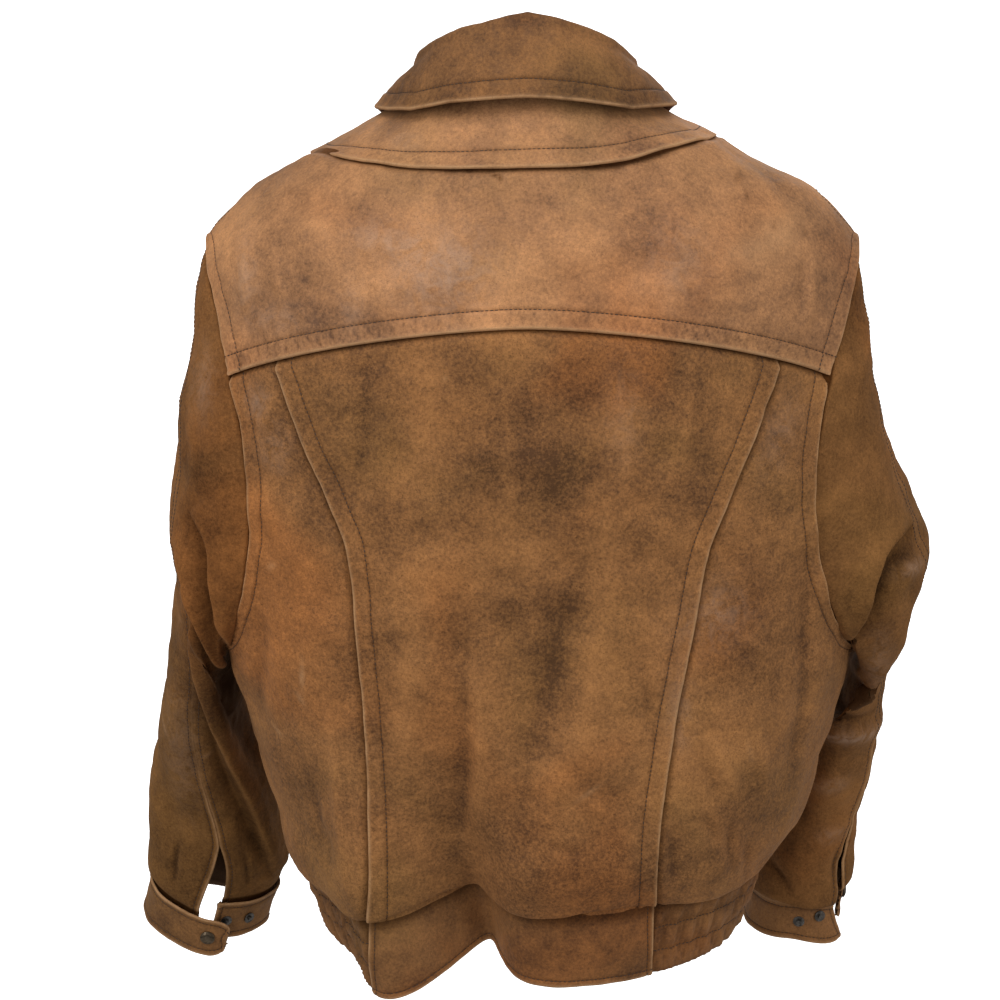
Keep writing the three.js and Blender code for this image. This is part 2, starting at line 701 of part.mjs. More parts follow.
function hemGrid(stops) {
  // stops: functions of the level that give an angle, with the count of columns up to each.
  return evenly(ROWS.hem, HEM_LEVEL, HEM_SEAM_LEVEL).map((level) =>
    stops
      .flatMap(({ at, columns }, n) => {
        if (n === 0) return [at(level)];
        return evenly(columns, stops[n - 1].at(level), at(level)).slice(1);
      })
      .map((angle) => ({ point: torso(angle, level), normal: torsoNormal(angle, level) })),
  );
}

function addHem(name, stops) {
  add(name, wall(hemGrid(stops), WALL), MATERIALS.trim);
}

addHem("hem_back", [
  { at: (level) => shapedSeam(-1, level) },
  { at: (level) => shapedSeam(1, level), columns: COLUMNS.centre },
]);
for (const side of [-1, 1]) {
  const word = side < 0 ? "left" : "right";
  const seam = (level) => shapedSeam(side, level);
  const sideSeam = () => side * 90;
  const tab = (level) => hemEnd(side, level);
  const zip = (level) => zipAngle(side, level);
  const [back, front] = [COLUMNS.side, COLUMNS.front - TAB_COLUMNS];
  const elastic =
    side < 0
      ? [{ at: tab }, { at: sideSeam, columns: front }, { at: seam, columns: back }]
      : [{ at: seam }, { at: sideSeam, columns: back }, { at: tab, columns: front }];
  addHem(`hem_elastic_${word}`, elastic);
  const [first, last] = side < 0 ? [zip, tab] : [tab, zip];
  addHem(`hem_front_${word}`, [{ at: first }, { at: last, columns: TAB_COLUMNS }]);
}

// ---------------------------------------------------------------- sleeves and cuffs

for (const sleeve of Object.values(SLEEVES)) {
  const word = sleeve.side < 0 ? "left" : "right";
  // Turns run backwards on one side of the body, so that side's columns are reversed to face outwards.
  const facing = (grid) => (sleeve.side > 0 ? grid.map((row) => [...row].reverse()) : grid);
  const downwards = (grid) => facing([...grid].reverse());
  add(`sleeve_upper_${word}`, wall(downwards(sleeveGrid(sleeve, "upper")), WALL), MATERIALS.sleeve);
  add(`sleeve_under_${word}`, wall(downwards(sleeveGrid(sleeve, "under")), WALL), MATERIALS.sleeve);

  const cuff = evenly(3, 1, 0).map((across) =>
    evenly(CUFF_COLUMNS, 0, 1).map((along) => ({
      point: strapPoint(sleeve, along, across),
      normal: strapNormal(sleeve, along, across),
    })),
  );
  add(`cuff_${word}`, wall(facing(cuff), BAND_WALL), MATERIALS.trim);
  addSnaps(sleeve, word);
}

// A turned piece that stands on the strap, at a turn between its two ends and a place across it.
function addTurned(name, outline, sleeve, turn, across = 0.5) {
  const { start, end } = strapEnds(sleeve);
  const along = (turn - start) / (end - start);
  const normal = strapNormal(sleeve, along, across);
  const points = outline.map(([radius, height]) => new THREE.Vector2(radius, height));
  const mesh = add(name, new THREE.LatheGeometry(points, STUD_SIDES), MATERIALS.brass);
  mesh.position.copy(strapPoint(sleeve, along, across)).addScaledVector(normal, STUD_LIFT);
  mesh.quaternion.setFromUnitVectors(new THREE.Vector3(0, 1, 0), normal);
}

function addSnaps(sleeve, word) {
  const { radius, height } = CAP;
  const cap = [[0, 0], [radius, 0], [radius, height * 0.4], [radius * 0.72, height * 0.85], [0, height]];
  addTurned(`snap_cap_${word}`, cap, sleeve, sleeve.cuff.capTurn);
  const { base, post } = STUD;
  const foot = [[0, 0], [STUD.radius, 0], [STUD.radius, base]];
  const stud = [...foot, [post, base], [post, STUD.height], [0, STUD.height]];
  const { studTurns, studPlaces } = sleeve.cuff;
  studTurns.forEach((turn, n) => {
    // The studs sit near the strap's start, one whole turn before its tab.
    addTurned(`snap_stud_${word}_${n + 1}`, stud, sleeve, turn - 360, studPlaces[n]);
  });
}

// ---------------------------------------------------------------- collar

// The height of the torso straight under a point near the neck.
function torsoFloor(angle, point) {
  const wanted = Math.hypot(point.x, point.y);
  let [low, high] = [SHOULDER_LEVEL - 60, NECK_LEVEL];
  for (let n = 0; n < 30; n++) {
    const middle = (low + high) / 2;
    const p = torso(angle, middle);
    if (Math.hypot(p.x, p.y) > wanted) low = middle;
    else high = middle;
  }
  return torso(angle, low).z;
}

function collarSection(angle) {
  const [stand, reach, drop] = [1, 2, 3].map((column) => tableAt(COLLAR_SHAPE, Math.abs(angle), column));
  const base = torso(angle, NECK_LEVEL);
  const outwards = new THREE.Vector3(Math.sin(angle * DEG), -Math.cos(angle * DEG), 0);
  const at = (out, up) => base.clone().addScaledVector(outwards, out).add(new THREE.Vector3(0, 0, up));
  const edge = at(reach, -drop);
  // The edge is kept off the leather under it.
  edge.z = Math.max(edge.z, torsoFloor(angle, edge) + FALL_CLEARANCE);
  return { at, edge, stand };
}

const collarAngles = evenly(COLLAR_COLUMNS, -COLLAR_END, COLLAR_END);

// Normals of a free grid, from its own neighbours.
function withNormals(points) {
  const rows = points.length;
  const cols = points[0].length;
  return points.map((row, j) =>
    row.map((point, i) => {
      const along = points[j][Math.min(cols - 1, i + 1)].clone().sub(points[j][Math.max(0, i - 1)]);
      const up = points[Math.min(rows - 1, j + 1)][i].clone().sub(points[Math.max(0, j - 1)][i]);
      return { point, normal: along.cross(up).normalize() };
    }),
  );
}

const standPoints = STAND_RISES.map((rise) =>
  collarAngles.map((angle) => {
    const { at, stand } = collarSection(angle);
    return at(STAND_LEAN * rise * rise, STAND_FOOT + (stand - FOLD_DROP) * rise);
  }),
);
add("collar_stand", wall(withNormals(standPoints), STAND_WALL), MATERIALS.trim);

// The fall runs from its edge up to its shoulder, then over the crown of the fold to the top of the stand.
const fallPoints = ["edge", "low", "high", "shoulder", "crown", "inside"].map((place, n) =>
  collarAngles.map((angle) => {
    const { edge, at, stand } = collarSection(angle);
    if (place === "crown") return at(STAND_LEAN, stand + CROWN_RISE);
    if (place === "inside") return at(FOLD_INSIDE, stand + 1);
    const up = FALL_RISES[n];
    const belly = new THREE.Vector3(0, 0, FALL_BELLY * Math.sin(Math.PI * up));
    return edge.clone().lerp(at(FOLD_REACH, stand - FOLD_DROP), up).add(belly);
  }),
);
add("collar_fall", wall(withNormals(fallPoints), FALL_WALL, 0), MATERIALS.trim);

// ---------------------------------------------------------------- front zip

// A point on the front's centre line, moved sideways by x and in by `sink`.
const frontNormal = (level) => torsoNormal(180, level).setX(0).normalize();
const frontPoint = (x, level, sink) =>
  torso(180, level).setX(x).addScaledVector(frontNormal(level), -sink);
const panelLevels = zipLine(1, frontSideLine(1)).map((at) => at.level);
const zipLevels = [
  ...evenly(ROWS.hem, HEM_LEVEL + 1, HEM_SEAM_LEVEL),
  ...panelLevels.slice(1),
  ...evenly(ROWS.saddle, SADDLE_LEVEL, NECK_LEVEL - 1).slice(1),
];
const stripGrid = (xs, sink) =>
  zipLevels.map((level) => xs.map((x) => ({ point: frontPoint(x, level, sink), normal: frontNormal(level) })));

add("zip_tape_left", wall(stripGrid([-SEAM_GAP / 4, -TAPE_WIDTH], TAPE_SINK), TAPE_WALL), MATERIALS.tape);
add("zip_tape_right", wall(stripGrid([TAPE_WIDTH, SEAM_GAP / 4], TAPE_SINK), TAPE_WALL), MATERIALS.tape);
const chainGrid = stripGrid([CHAIN_WIDTH / 2, -CHAIN_WIDTH / 2], CHAIN_SINK);
add("zip_chain", wall(chainGrid, CHAIN_HEIGHT), MATERIALS.brass);

// ---------------------------------------------------------------- slider and pull tab

// Joins closed geometries into one.
function join(geometries) {
  const solids = geometries.map((geometry) => {
    const bare = geometry.index ? geometry.toNonIndexed() : geometry.clone();
    bare.deleteAttribute("normal");
    bare.deleteAttribute("uv");
    const merged = mergeVertices(bare, 1e-4);
    const mesh = new wasm.Mesh({
      numProp: 3,
      vertProperties: new Float32Array(merged.attributes.position.array),
      triVerts: new Uint32Array(merged.index.array),
    });
    return new wasm.Manifold(mesh);
  });
  const { vertProperties, triVerts } = solids.reduce((whole, next) => whole.add(next)).getMesh();
  const joined = new THREE.BufferGeometry();
  joined.setAttribute("position", new THREE.BufferAttribute(vertProperties, 3));
  joined.setIndex(new THREE.BufferAttribute(triVerts, 1));
  joined.computeVertexNormals();
  return joined;
}

// The slider's group: X across the zip, Y down it, Z out of the jacket. Its origin is on the leather's level.
const stretchFoot = frontPoint(0, panelLevels[SLIDER_ROW], 0);
const stretchHead = frontPoint(0, panelLevels[SLIDER_ROW + 1], 0);
const downZip = stretchFoot.clone().sub(stretchHead).normalize();
const acrossZip = new THREE.Vector3(1, 0, 0);
const outOfZip = acrossZip.clone().cross(downZip);
const zipFrame = new THREE.Group();
zipFrame.position.copy(stretchFoot).lerp(stretchHead, 0.5);
zipFrame.quaternion.setFromRotationMatrix(new THREE.Matrix4().makeBasis(acrossZip, downZip, outOfZip));
jacket.add(zipFrame);

const sliderFoot = SEAM_GAP - CHAIN_SINK;
const sliderTop = sliderFoot + SLIDER.height;
const pinLevel = sliderTop + SLIDER.pinHeight;

function sliderGeometry() {
  const { width, length, height, earGap, earWall, earLength, pin, pinHeight } = SLIDER;
  const plate = new THREE.BoxGeometry(width, length, height).translate(0, 0, sliderFoot + height / 2);
  const earHeight = pinHeight + 2 * pin;
  const ears = [-1, 1].map((side) =>
    new THREE.BoxGeometry(earWall, earLength, earHeight + height / 2).translate(
      (side * (earGap + earWall)) / 2,
      0,
      sliderTop + earHeight / 2 - height / 4,
    ),
  );
  const bar = new THREE.CylinderGeometry(pin, pin, earGap + earWall, 12);
  bar.rotateZ(90 * DEG).translate(0, 0, pinLevel);
  return join([plate, ...ears, bar]);
}
add("zip_slider", sliderGeometry(), MATERIALS.brass, zipFrame);

// The pull tab: a flat tongue with an eye round the slider's bar. Its outline lies along the zip.
function pullGeometry() {
  const { width, length, thick, eye, hole } = PULL;
  const half = thick / 2;
  const leave = Math.asin(half / eye);
  const outline = new THREE.Shape();
  outline.moveTo(eye * Math.cos(leave), half);
  outline.absarc(0, 0, eye, leave, 2 * Math.PI - leave, false);
  outline.lineTo(length - half, -half);
  outline.absarc(length - half, 0, half, -Math.PI / 2, Math.PI / 2, false);
  outline.closePath();
  const opening = new THREE.Path();
  opening.absarc(0, 0, hole, 0, 2 * Math.PI, true);
  outline.holes.push(opening);
  const geometry = new THREE.ExtrudeGeometry(outline, { depth: width, bevelEnabled: false, curveSegments: 10 });
  // The outline's x runs down the zip, its y out of the jacket, and its depth across.
  return geometry.translate(0, 0, -width / 2).rotateY(90 * DEG).rotateX(90 * DEG);
}
const pull = add("zip_pull", pullGeometry(), MATERIALS.brass, zipFrame);
pull.position.set(0, 0, pinLevel);
pull.rotation.x = -PULL.rest;

export default jacket;
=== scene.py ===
import math

import bpy
import numpy as np
from bpy.props import FloatProperty, FloatVectorProperty, PointerProperty
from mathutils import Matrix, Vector


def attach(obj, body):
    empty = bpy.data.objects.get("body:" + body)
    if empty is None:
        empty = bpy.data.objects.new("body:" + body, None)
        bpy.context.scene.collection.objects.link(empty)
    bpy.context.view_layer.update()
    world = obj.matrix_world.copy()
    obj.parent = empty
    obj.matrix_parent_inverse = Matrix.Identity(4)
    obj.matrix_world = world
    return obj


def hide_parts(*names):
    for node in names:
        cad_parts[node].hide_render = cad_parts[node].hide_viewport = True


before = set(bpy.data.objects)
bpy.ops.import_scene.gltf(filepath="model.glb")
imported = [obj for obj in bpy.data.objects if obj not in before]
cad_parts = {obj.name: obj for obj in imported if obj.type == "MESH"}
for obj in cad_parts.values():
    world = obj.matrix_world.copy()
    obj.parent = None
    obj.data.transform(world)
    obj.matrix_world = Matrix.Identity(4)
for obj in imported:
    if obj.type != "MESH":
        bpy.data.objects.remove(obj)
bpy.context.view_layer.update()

# A worn leather blouson, filled out with nobody in it. Every leather piece is a thin shell on the
# surface that the frame's own pieces follow. Sizes in this file are in millimetres unless they say
# otherwise, in the frame's axes: +Z up, -Y the jacket's back, +Y its zipped front, -X the wearer's left.

bl_info = {
    "name": "Worn leather blouson",
    "version": (1, 0, 0),
    "blender": (4, 5, 0),
    "location": "View3D > Sidebar > Blouson",
    "description": "Builds the leather, seams, stitching, hardware and studio of a worn blouson",
    "category": "Object",
}

MM = 0.001  # metres in a millimetre

# ------------------------------------------------------------------ sizes of the body

NECK_LEVEL = -14.0
SADDLE_LEVEL = -67.0
SHOULDER_LEVEL = -128.0
UNDERARM_LEVEL = -458.0
HEM_SEAM_LEVEL = -628.0
HEM_LEVEL = -696.0

# Rings of the body: level, half width to the left and right, depth to the back and front.
TORSO_RINGS = (
    (HEM_LEVEL, 168, 174, 142, 130),
    (-660, 180, 188, 147, 136),
    (HEM_SEAM_LEVEL, 191, 198, 150, 140),
    (-600, 204, 224, 164, 154),
    (-545, 219, 241, 166, 160),
    (-500, 230, 253, 165, 162),
    (UNDERARM_LEVEL, 242, 262, 163, 160),
    (-380, 258, 268, 161, 158),
    (-300, 264, 270, 160, 154),
    (-225, 264, 268, 157, 148),
    (-175, 259, 264, 151, 138),
    (SHOULDER_LEVEL, 247, 254, 140, 125),
    (-92, 214, 221, 127, 112),
    (SADDLE_LEVEL, 173, 176, 116, 103),
    (-38, 119, 121, 99, 92),
    (NECK_LEVEL, 78, 75, 78, 80),
)
BACK_LIFT = ((HEM_SEAM_LEVEL, 0), (-90, 0), (NECK_LEVEL, 15))
FRONT_DROP = (
    (HEM_LEVEL, -22), (HEM_SEAM_LEVEL, -14), (-420, 0), (-300, 2), (-225, 12), (SHOULDER_LEVEL, 42),
    (NECK_LEVEL, 62),
)
# Lower seam of the saddle: angle from the back centre, level.
SADDLE_SEAM = (
    (-180, SADDLE_LEVEL), (-120, -65), (-90, -64.5), (-65, -62.5), (-40, -67), (-25, -69.3), (0, -68.5),
    (20, -66), (40, -58), (60, -52.7), (90, -51), (130, -57), (180, SADDLE_LEVEL),
)

# Folds that open towards the hem: angle, half spread, depth, rise of the hem.
HEM_FOLDS = ((-17, 11, -54, 17), (-37, 12, 17, -19), (12, 16, 6, 1))
HEM_FOLD_TOP = -430.0

YOKE_CENTRE_LEVEL = -177.5
YOKE_DROP = 49.0
YOKE_END_ANGLE = 60.0
YOKE_CURVE = 1.65
# The shaped back seams: level, distance from the centre on the left and on the right.
SHAPED_SEAMS = (
    (HEM_LEVEL, 112, 97),
    (HEM_SEAM_LEVEL, 115, 97),
    (-559, 119, 101),
    (-477, 125, 112),
    (-399, 131, 126),
    (-346, 136, 136),
    (-317, 147, 147),
    (-266, 169, 169),
    (-214, 188, 188),
)

ARMHOLE_BACK_REACH = 36.0
ARMHOLE_FRONT_REACH = 38.0
ARMHOLE_SKEW = 0.18

ZIP_HALF_OPENING = 6.0
HEM_TAB_SHARE = 4 / 9  # of the front, which the plain end of the hem band takes

# ------------------------------------------------------------------ sizes of the sleeves

LAST_STATION = 10
SLEEVE_LENGTH = 620.0
ARMHOLE_BLEND = 3.2
UNDER_SEAM = 188.0
SLIT_LENGTH = 90.0
SEAM_BOW_AT = 0.84  # share of the sleeve's length where its back seam bows out
SEAM_BOW_SPREAD = 0.14
SAG_STATION = 8.6  # below it a sleeve follows the way its cuff hangs and stands out
CUFF_HEIGHT = 37.0
WRIST = 55.0  # half width that a cuff's flare and lift are measured on
TAB_CORNER = 10.0
TAB_CORNER_SHARE = 0.035
SEAM_GAP = 0.3

SLEEVES = {
    "left": {
        "side": -1,
        "outer": (
            (-246, 0, -128), (-258, 0, -180), (-268, 2, -235), (-279, 8, -292), (-289, 18, -346),
            (-288, 32, -398), (-295, 54, -460), (-310, 78, -525), (-322, 98, -590), (-331, 110, -648),
            (-332, 117, -699),
        ),
        "under": (
            (-242, 0, -458), (-251, 9, -466), (-251, 24, -473), (-248, 42, -485), (-242, 60, -502),
            (-234, 78, -528), (-226, 96, -562), (-219, 110, -600), (-214, 120, -644), (-211, 126, -688),
            (-222, 130, -720),
        ),
        "depth": (94, 92, 88, 84, 80, 74, 68, 64, 60, 55, 48),
        "seam_end": 90,
        "seam_bow": 14,
        "slit": 16,
        "sag": (14, -20, 110),
        "cuff": {
            "flare": -2, "swing": 4, "lean": 0, "stud_lift": 0, "lift": 9, "reach": 31, "run": 56,
        },
    },
    "right": {
        "side": 1,
        "outer": (
            (252, 0, -128), (262, 0, -180), (271, 2, -235), (286, 8, -290), (309, 18, -338),
            (327, 32, -380), (306, 52, -436), (304, 76, -505), (298, 98, -575), (289, 110, -643),
            (280, 118, -705),
        ),
        "under": (
            (262, 0, -458), (269, 9, -466), (271, 24, -475), (267, 42, -488), (260, 60, -506),
            (250, 78, -531), (238, 95, -562), (225, 109, -598), (213, 118, -638), (204, 124, -677),
            (197, 129, -715),
        ),
        "depth": (94, 92, 88, 84, 80, 74, 68, 64, 58, 52, 46),
        "seam_end": 42,
        "seam_bow": 0,
        "slit": 3,
        "sag": (15, -255, -335),
        "cuff": {
            "flare": 0, "swing": 2, "lean": 20, "stud_lift": 8, "lift": 1, "reach": -12, "run": 50,
        },
    },
}

# The collar by angle from the back centre: stand height, reach of the fall's edge, drop of that edge.
COLLAR_END = 166.0
COLLAR_SHAPE = (
    (0, 41, 30, 17), (45, 30, 34, 20), (90, 17, 40, 26), (130, 13, 41, 34), (COLLAR_END, 9, 30, 58),
)
FALL_CLEARANCE = 7.0


# ------------------------------------------------------------------ curves and surfaces


def mix(a, b, t):
    return a + (b - a) * t


def smooth(t):
    c = np.clip(t, 0, 1)
    return c * c * (3 - 2 * c)


def unit(vectors):
    return vectors / np.maximum(np.linalg.norm(vectors, axis=-1, keepdims=True), 1e-9)


def table_at(table, key, column):
    """The smooth value of a column of a table whose first column rises or falls."""
    rows = np.array(table, dtype=float)
    if rows[0, 0] > rows[-1, 0]:
        rows = rows[::-1]
    at, value = rows[:, 0], rows[:, column]
    slope = np.empty(len(at))
    slope[1:-1] = (value[2:] - value[:-2]) / (at[2:] - at[:-2])
    slope[0] = (value[1] - value[0]) / (at[1] - at[0])
    slope[-1] = (value[-1] - value[-2]) / (at[-1] - at[-2])
    key = np.asarray(key, dtype=float)
    k = np.clip(np.searchsorted(at, key, side="right") - 1, 0, len(at) - 2)
    span = at[k + 1] - at[k]
    t = np.clip((key - at[k]) / span, 0, 1)
    t2, t3 = t * t, t * t * t
    start, end = value[k], value[k + 1]
    return (
        (2 * t3 - 3 * t2 + 1) * start + (t3 - 2 * t2 + t) * slope[k] * span
        + (3 * t2 - 2 * t3) * end + (t3 - t2) * slope[k + 1] * span
    )


def torso(angle, level):
    """Points of the body. The angle runs in degrees from the back centre, positive to the right."""
    angle, level = np.broadcast_arrays(np.asarray(angle, float), np.asarray(level, float))
    sine, cosine = np.sin(np.radians(angle)), np.cos(np.radians(angle))
    half = np.where(sine < 0, table_at(TORSO_RINGS, level, 1), table_at(TORSO_RINGS, level, 2))
    depth = np.where(cosine > 0, table_at(TORSO_RINGS, level, 3), table_at(TORSO_RINGS, level, 4))
    fade = smooth((HEM_FOLD_TOP - level) / (HEM_FOLD_TOP - HEM_LEVEL))
    fold = np.zeros(angle.shape)
    rise = np.zeros(angle.shape)
    for at, spread, deep, high in HEM_FOLDS:
        share = fade * np.exp(-(((angle - at) / spread) ** 2))
        fold += deep * share
        rise += high * share * fade
    back = np.maximum(0, cosine) ** 2
    front = np.maximum(0, -cosine) ** 2
    z = level + table_at(BACK_LIFT, level, 1) * back - table_at(FRONT_DROP, level, 1) * front + rise
    x, y = half * sine, -depth * cosine
    grow = 1 + fold / np.hypot(x, y)
    return np.stack([x * grow, y * grow, z], axis=-1)


def armhole(side, turn):
    """The angle and level of an armhole's edge: 0 at the shoulder, 90 at the back, 180 under the arm."""
    turn = np.asarray(turn, float)
    level = mix(UNDERARM_LEVEL, SHOULDER_LEVEL, (1 + np.cos(np.radians(turn))) / 2)
    wrapped = np.mod(turn, 360)
    is_back = wrapped <= 180
    down = np.where(is_back, wrapped, 360 - wrapped)
    reach = np.where(is_back, ARMHOLE_BACK_REACH, ARMHOLE_FRONT_REACH) * (1 + ARMHOLE_SKEW * (down - 90) / 90)
    offset = reach * np.sin(np.radians(down))
    return side * (90 - np.where(is_back, offset, -offset)), level


def yoke_level(angle):
    return YOKE_CENTRE_LEVEL - YOKE_DROP * (np.abs(angle) / YOKE_END_ANGLE) ** YOKE_CURVE


def find_yoke_turn():
    turn = 90.0
    for _ in range(40):
        angle, level = armhole(1, turn)
        turn += (level - yoke_level(angle)) * 0.2
    return float(turn)


YOKE_TURN = find_yoke_turn()


def shaped_seam(side, level):
    column = 1 if side < 0 else 2
    share = table_at(SHAPED_SEAMS, level, column) / table_at(TORSO_RINGS, level, column)
    return side * np.degrees(np.arcsin(np.minimum(0.99, share)))


def shaped_seam_top(side):
    level = -200.0
    for _ in range(20):
        level = yoke_level(shaped_seam(side, level))
    return float(level)


# Seam lines of the body: functions of the place from 0 at the low end to 1, giving an angle and a level.


def lower_side(side, share):
    return side * 90.0 + 0 * share, mix(HEM_SEAM_LEVEL, UNDERARM_LEVEL, share)


def joined_lines(*parts):
    """Lines set end to end. Each part is its share of the whole and its own line."""
    total = sum(share for share, _ in parts)

    def line(v):
        v = np.asarray(v, float)
        angle, level = np.zeros(v.shape), np.zeros(v.shape)
        start = 0.0
        for n, (share, part) in enumerate(parts):
            width = share / total
            here = (v >= start) if n else np.ones(v.shape, bool)
            part_angle, part_level = part((v - start) / width)
            angle = np.where(here, part_angle, angle)
            level = np.where(here, part_level, level)
            start += width
        return angle, level

    return line


def saddle_level(angle):
    return table_at(SADDLE_SEAM, angle, 1)


def side_line(side):
    return joined_lines(
        (5, lambda s: lower_side(side, s)),
        (6, lambda s: armhole(side, mix(180, YOKE_TURN, s))),
    )


def yoke_side_line(side):
    return joined_lines(
        (4, lambda s: armhole(side, mix(YOKE_TURN, 0, s))),
        (2, lambda s: (side * 90.0 + 0 * s, mix(SHOULDER_LEVEL, saddle_level(side * 90.0), s))),
    )


def front_side_line(side):
    return joined_lines(
        (5, lambda s: lower_side(side, s)),
        (10, lambda s: armhole(side, mix(180, 360, s))),
        (2, lambda s: (side * 90.0 + 0 * s, mix(SHOULDER_LEVEL, saddle_level(side * 90.0), s))),
    )


def shaped_line(side):
    outside = side_line(side)
    highest = float(outside(1.0)[1])
    top = shaped_seam_top(side)

    def line(v):
        share = (outside(v)[1] - HEM_SEAM_LEVEL) / (highest - HEM_SEAM_LEVEL)
        level = mix(HEM_SEAM_LEVEL, top, share)
        return shaped_seam(side, level), level

    return line


def zip_angle(side, level):
    half = table_at(TORSO_RINGS, level, 1 if side < 0 else 2)
    return side * (180 - np.degrees(np.arcsin(ZIP_HALF_OPENING / half)))


def zip_line(side):
    def line(v):
        level = mix(HEM_SEAM_LEVEL, SADDLE_LEVEL, np.asarray(v, float))
        return zip_angle(side, level), level

    return line


def body_surface(line_a, line_b, top_level=None):
    """A body panel between two seam lines, as points by the place across it and up it."""

    def surface(t, v):
        angle_a, level_a = line_a(v)
        angle_b, level_b = line_b(v)
        level = mix(level_a, level_b, t)
        if top_level:
            (end_a, end_level_a), (end_b, end_level_b) = line_a(1.0), line_b(1.0)
            bow = top_level(mix(end_a, end_b, t)) - mix(end_level_a, end_level_b, t)
            level = level + bow * np.maximum(v, 0) ** 2
        return torso(mix(angle_a, angle_b, t), level)

    return surface


def yoke_surface(t, v):
    left, right = yoke_side_line(-1), yoke_side_line(1)
    (angle_a, level_a), (angle_b, level_b) = left(v), right(v)
    (start_a, low_a), (start_b, low_b) = left(0.0), right(0.0)
    share_a = (level_a - low_a) / (saddle_level(-90.0) - low_a)
    share_b = (level_b - low_b) / (saddle_level(90.0) - low_b)
    top = saddle_level(mix(-90.0, 90.0, t))
    level = mix(yoke_level(mix(start_a, start_b, t)), top, mix(share_a, share_b, t))
    return torso(mix(angle_a, angle_b, t), level)


def saddle_surface(t, v):
    end = zip_angle(1, SADDLE_LEVEL)
    angle = mix(-end, end, t)
    return torso(angle, mix(saddle_level(angle), NECK_LEVEL, v))


def hem_surface(angle_a, angle_b):
    def surface(t, v):
        level = mix(HEM_LEVEL, HEM_SEAM_LEVEL, v)
        return torso(mix(angle_a(level), angle_b(level), t), level)

    return surface


def hem_tab_end(side, level):
    return mix(side * 90.0, zip_angle(side, level), 1 - HEM_TAB_SHARE)


# ------------------------------------------------------------------ sleeve and cuff surfaces


def station(points, k):
    """Smooth points of a sleeve's line at stations k."""
    rows = [(n, *(p if hasattr(p, "__len__") else (p,))) for n, p in enumerate(points)]
    return np.stack([table_at(rows, k, column) for column in range(1, len(rows[0]))], axis=-1)


def sleeve_frame(sleeve, k):
    k = np.asarray(k, float)
    outer, under = station(sleeve["outer"], k), station(sleeve["under"], k)
    ahead = station(sleeve["outer"], k + 0.5) + station(sleeve["under"], k + 0.5)
    behind = station(sleeve["outer"], k - 0.5) + station(sleeve["under"], k - 0.5)
    along = unit(ahead - behind)
    back = np.zeros(along.shape)
    back[..., 1] = -1
    back = back - along * np.sum(back * along, axis=-1, keepdims=True)
    back = unit(back) * station(sleeve["depth"], k)
    return (outer + under) / 2, (outer - under) / 2, back, along


def tube_point(sleeve, turn, k):
    centre, across, back, _ = sleeve_frame(sleeve, k)
    angle = np.radians(turn)[..., None]
    return centre + across * np.cos(angle) + back * np.sin(angle)


def sleeve_point(sleeve, turn, k):
    """Points of a sleeve. The turn follows the armhole: 0 is the outer line, 90 the back."""
    turn, k = np.broadcast_arrays(np.asarray(turn, float), np.asarray(k, float))
    on = np.clip(k, 0, LAST_STATION)
    point = tube_point(sleeve, turn, on)
    rim = torso(*armhole(sleeve["side"], turn)) - tube_point(sleeve, turn, np.zeros(turn.shape))
    point = point + rim * (1 - smooth(on / ARMHOLE_BLEND))[..., None]
    # Above the armhole's edge the leather turns in, under the body's.
    point[..., 0] -= sleeve["side"] * np.maximum(-k, 0) * SLEEVE_LENGTH / LAST_STATION
    return point


def sag_at(sleeve, turn):
    """How much lower a sleeve's end and its cuff hang at a turn of the strap."""
    amount, high, low = sleeve["sag"]
    return amount * smooth((turn - high) / (low - high))


def tab_lift_at(sleeve, turn):
    """How far out the strap and the sleeve's end above it stand towards the tab."""
    return sleeve["cuff"]["lift"] * smooth(1 + (turn - strap_ends(sleeve)[1]) / sleeve["cuff"]["run"])


def sleeve_surface(sleeve, piece):
    arm_turns = mix(0, YOKE_TURN, 0.25)

    def surface(t, v):
        k = np.asarray(v, float) * LAST_STATION
        on = np.clip(k, 0, LAST_STATION)
        run = on / LAST_STATION
        seam = mix(arm_turns, sleeve["seam_end"], (smooth(run) + run) / 2)
        seam = seam + sleeve["seam_bow"] * np.exp(-(((run - SEAM_BOW_AT) / SEAM_BOW_SPREAD) ** 2))
        under = mix(180, UNDER_SEAM, smooth(on / 2))
        into = np.clip(1 - (1 - run) * SLEEVE_LENGTH / SLIT_LENGTH, 0, 1)
        width = sleeve["slit"] / 2 * into * (2 - into)
        half_slit = np.degrees(width / station(sleeve["depth"], on)[..., 0])
        if piece == "upper":
            turn = mix(under - 360, seam - half_slit, t)
        else:
            turn = mix(seam + half_slit, under, t)
        strap_turn = turn if piece == "upper" else turn - 360
        centre, _, _, along = sleeve_frame(sleeve, on)
        near = smooth((on - SAG_STATION) / (LAST_STATION - SAG_STATION))
        point = sleeve_point(sleeve, turn, k)
        out = (point - centre) * (near * tab_lift_at(sleeve, strap_turn) / WRIST)[..., None]
        # Past its end the leather goes on straight, under the strap.
        past = np.maximum(k - LAST_STATION, 0) * SLEEVE_LENGTH / LAST_STATION
        return point + out + along * (near * sag_at(sleeve, strap_turn) + past)[..., None]

    return surface


def strap_ends(sleeve):
    cuff = sleeve["cuff"]
    half_slit = math.degrees(sleeve["slit"] / 2 / sleeve["depth"][-1])
    return sleeve["seam_end"] + half_slit - 360, sleeve["seam_end"] - half_slit + cuff["reach"]


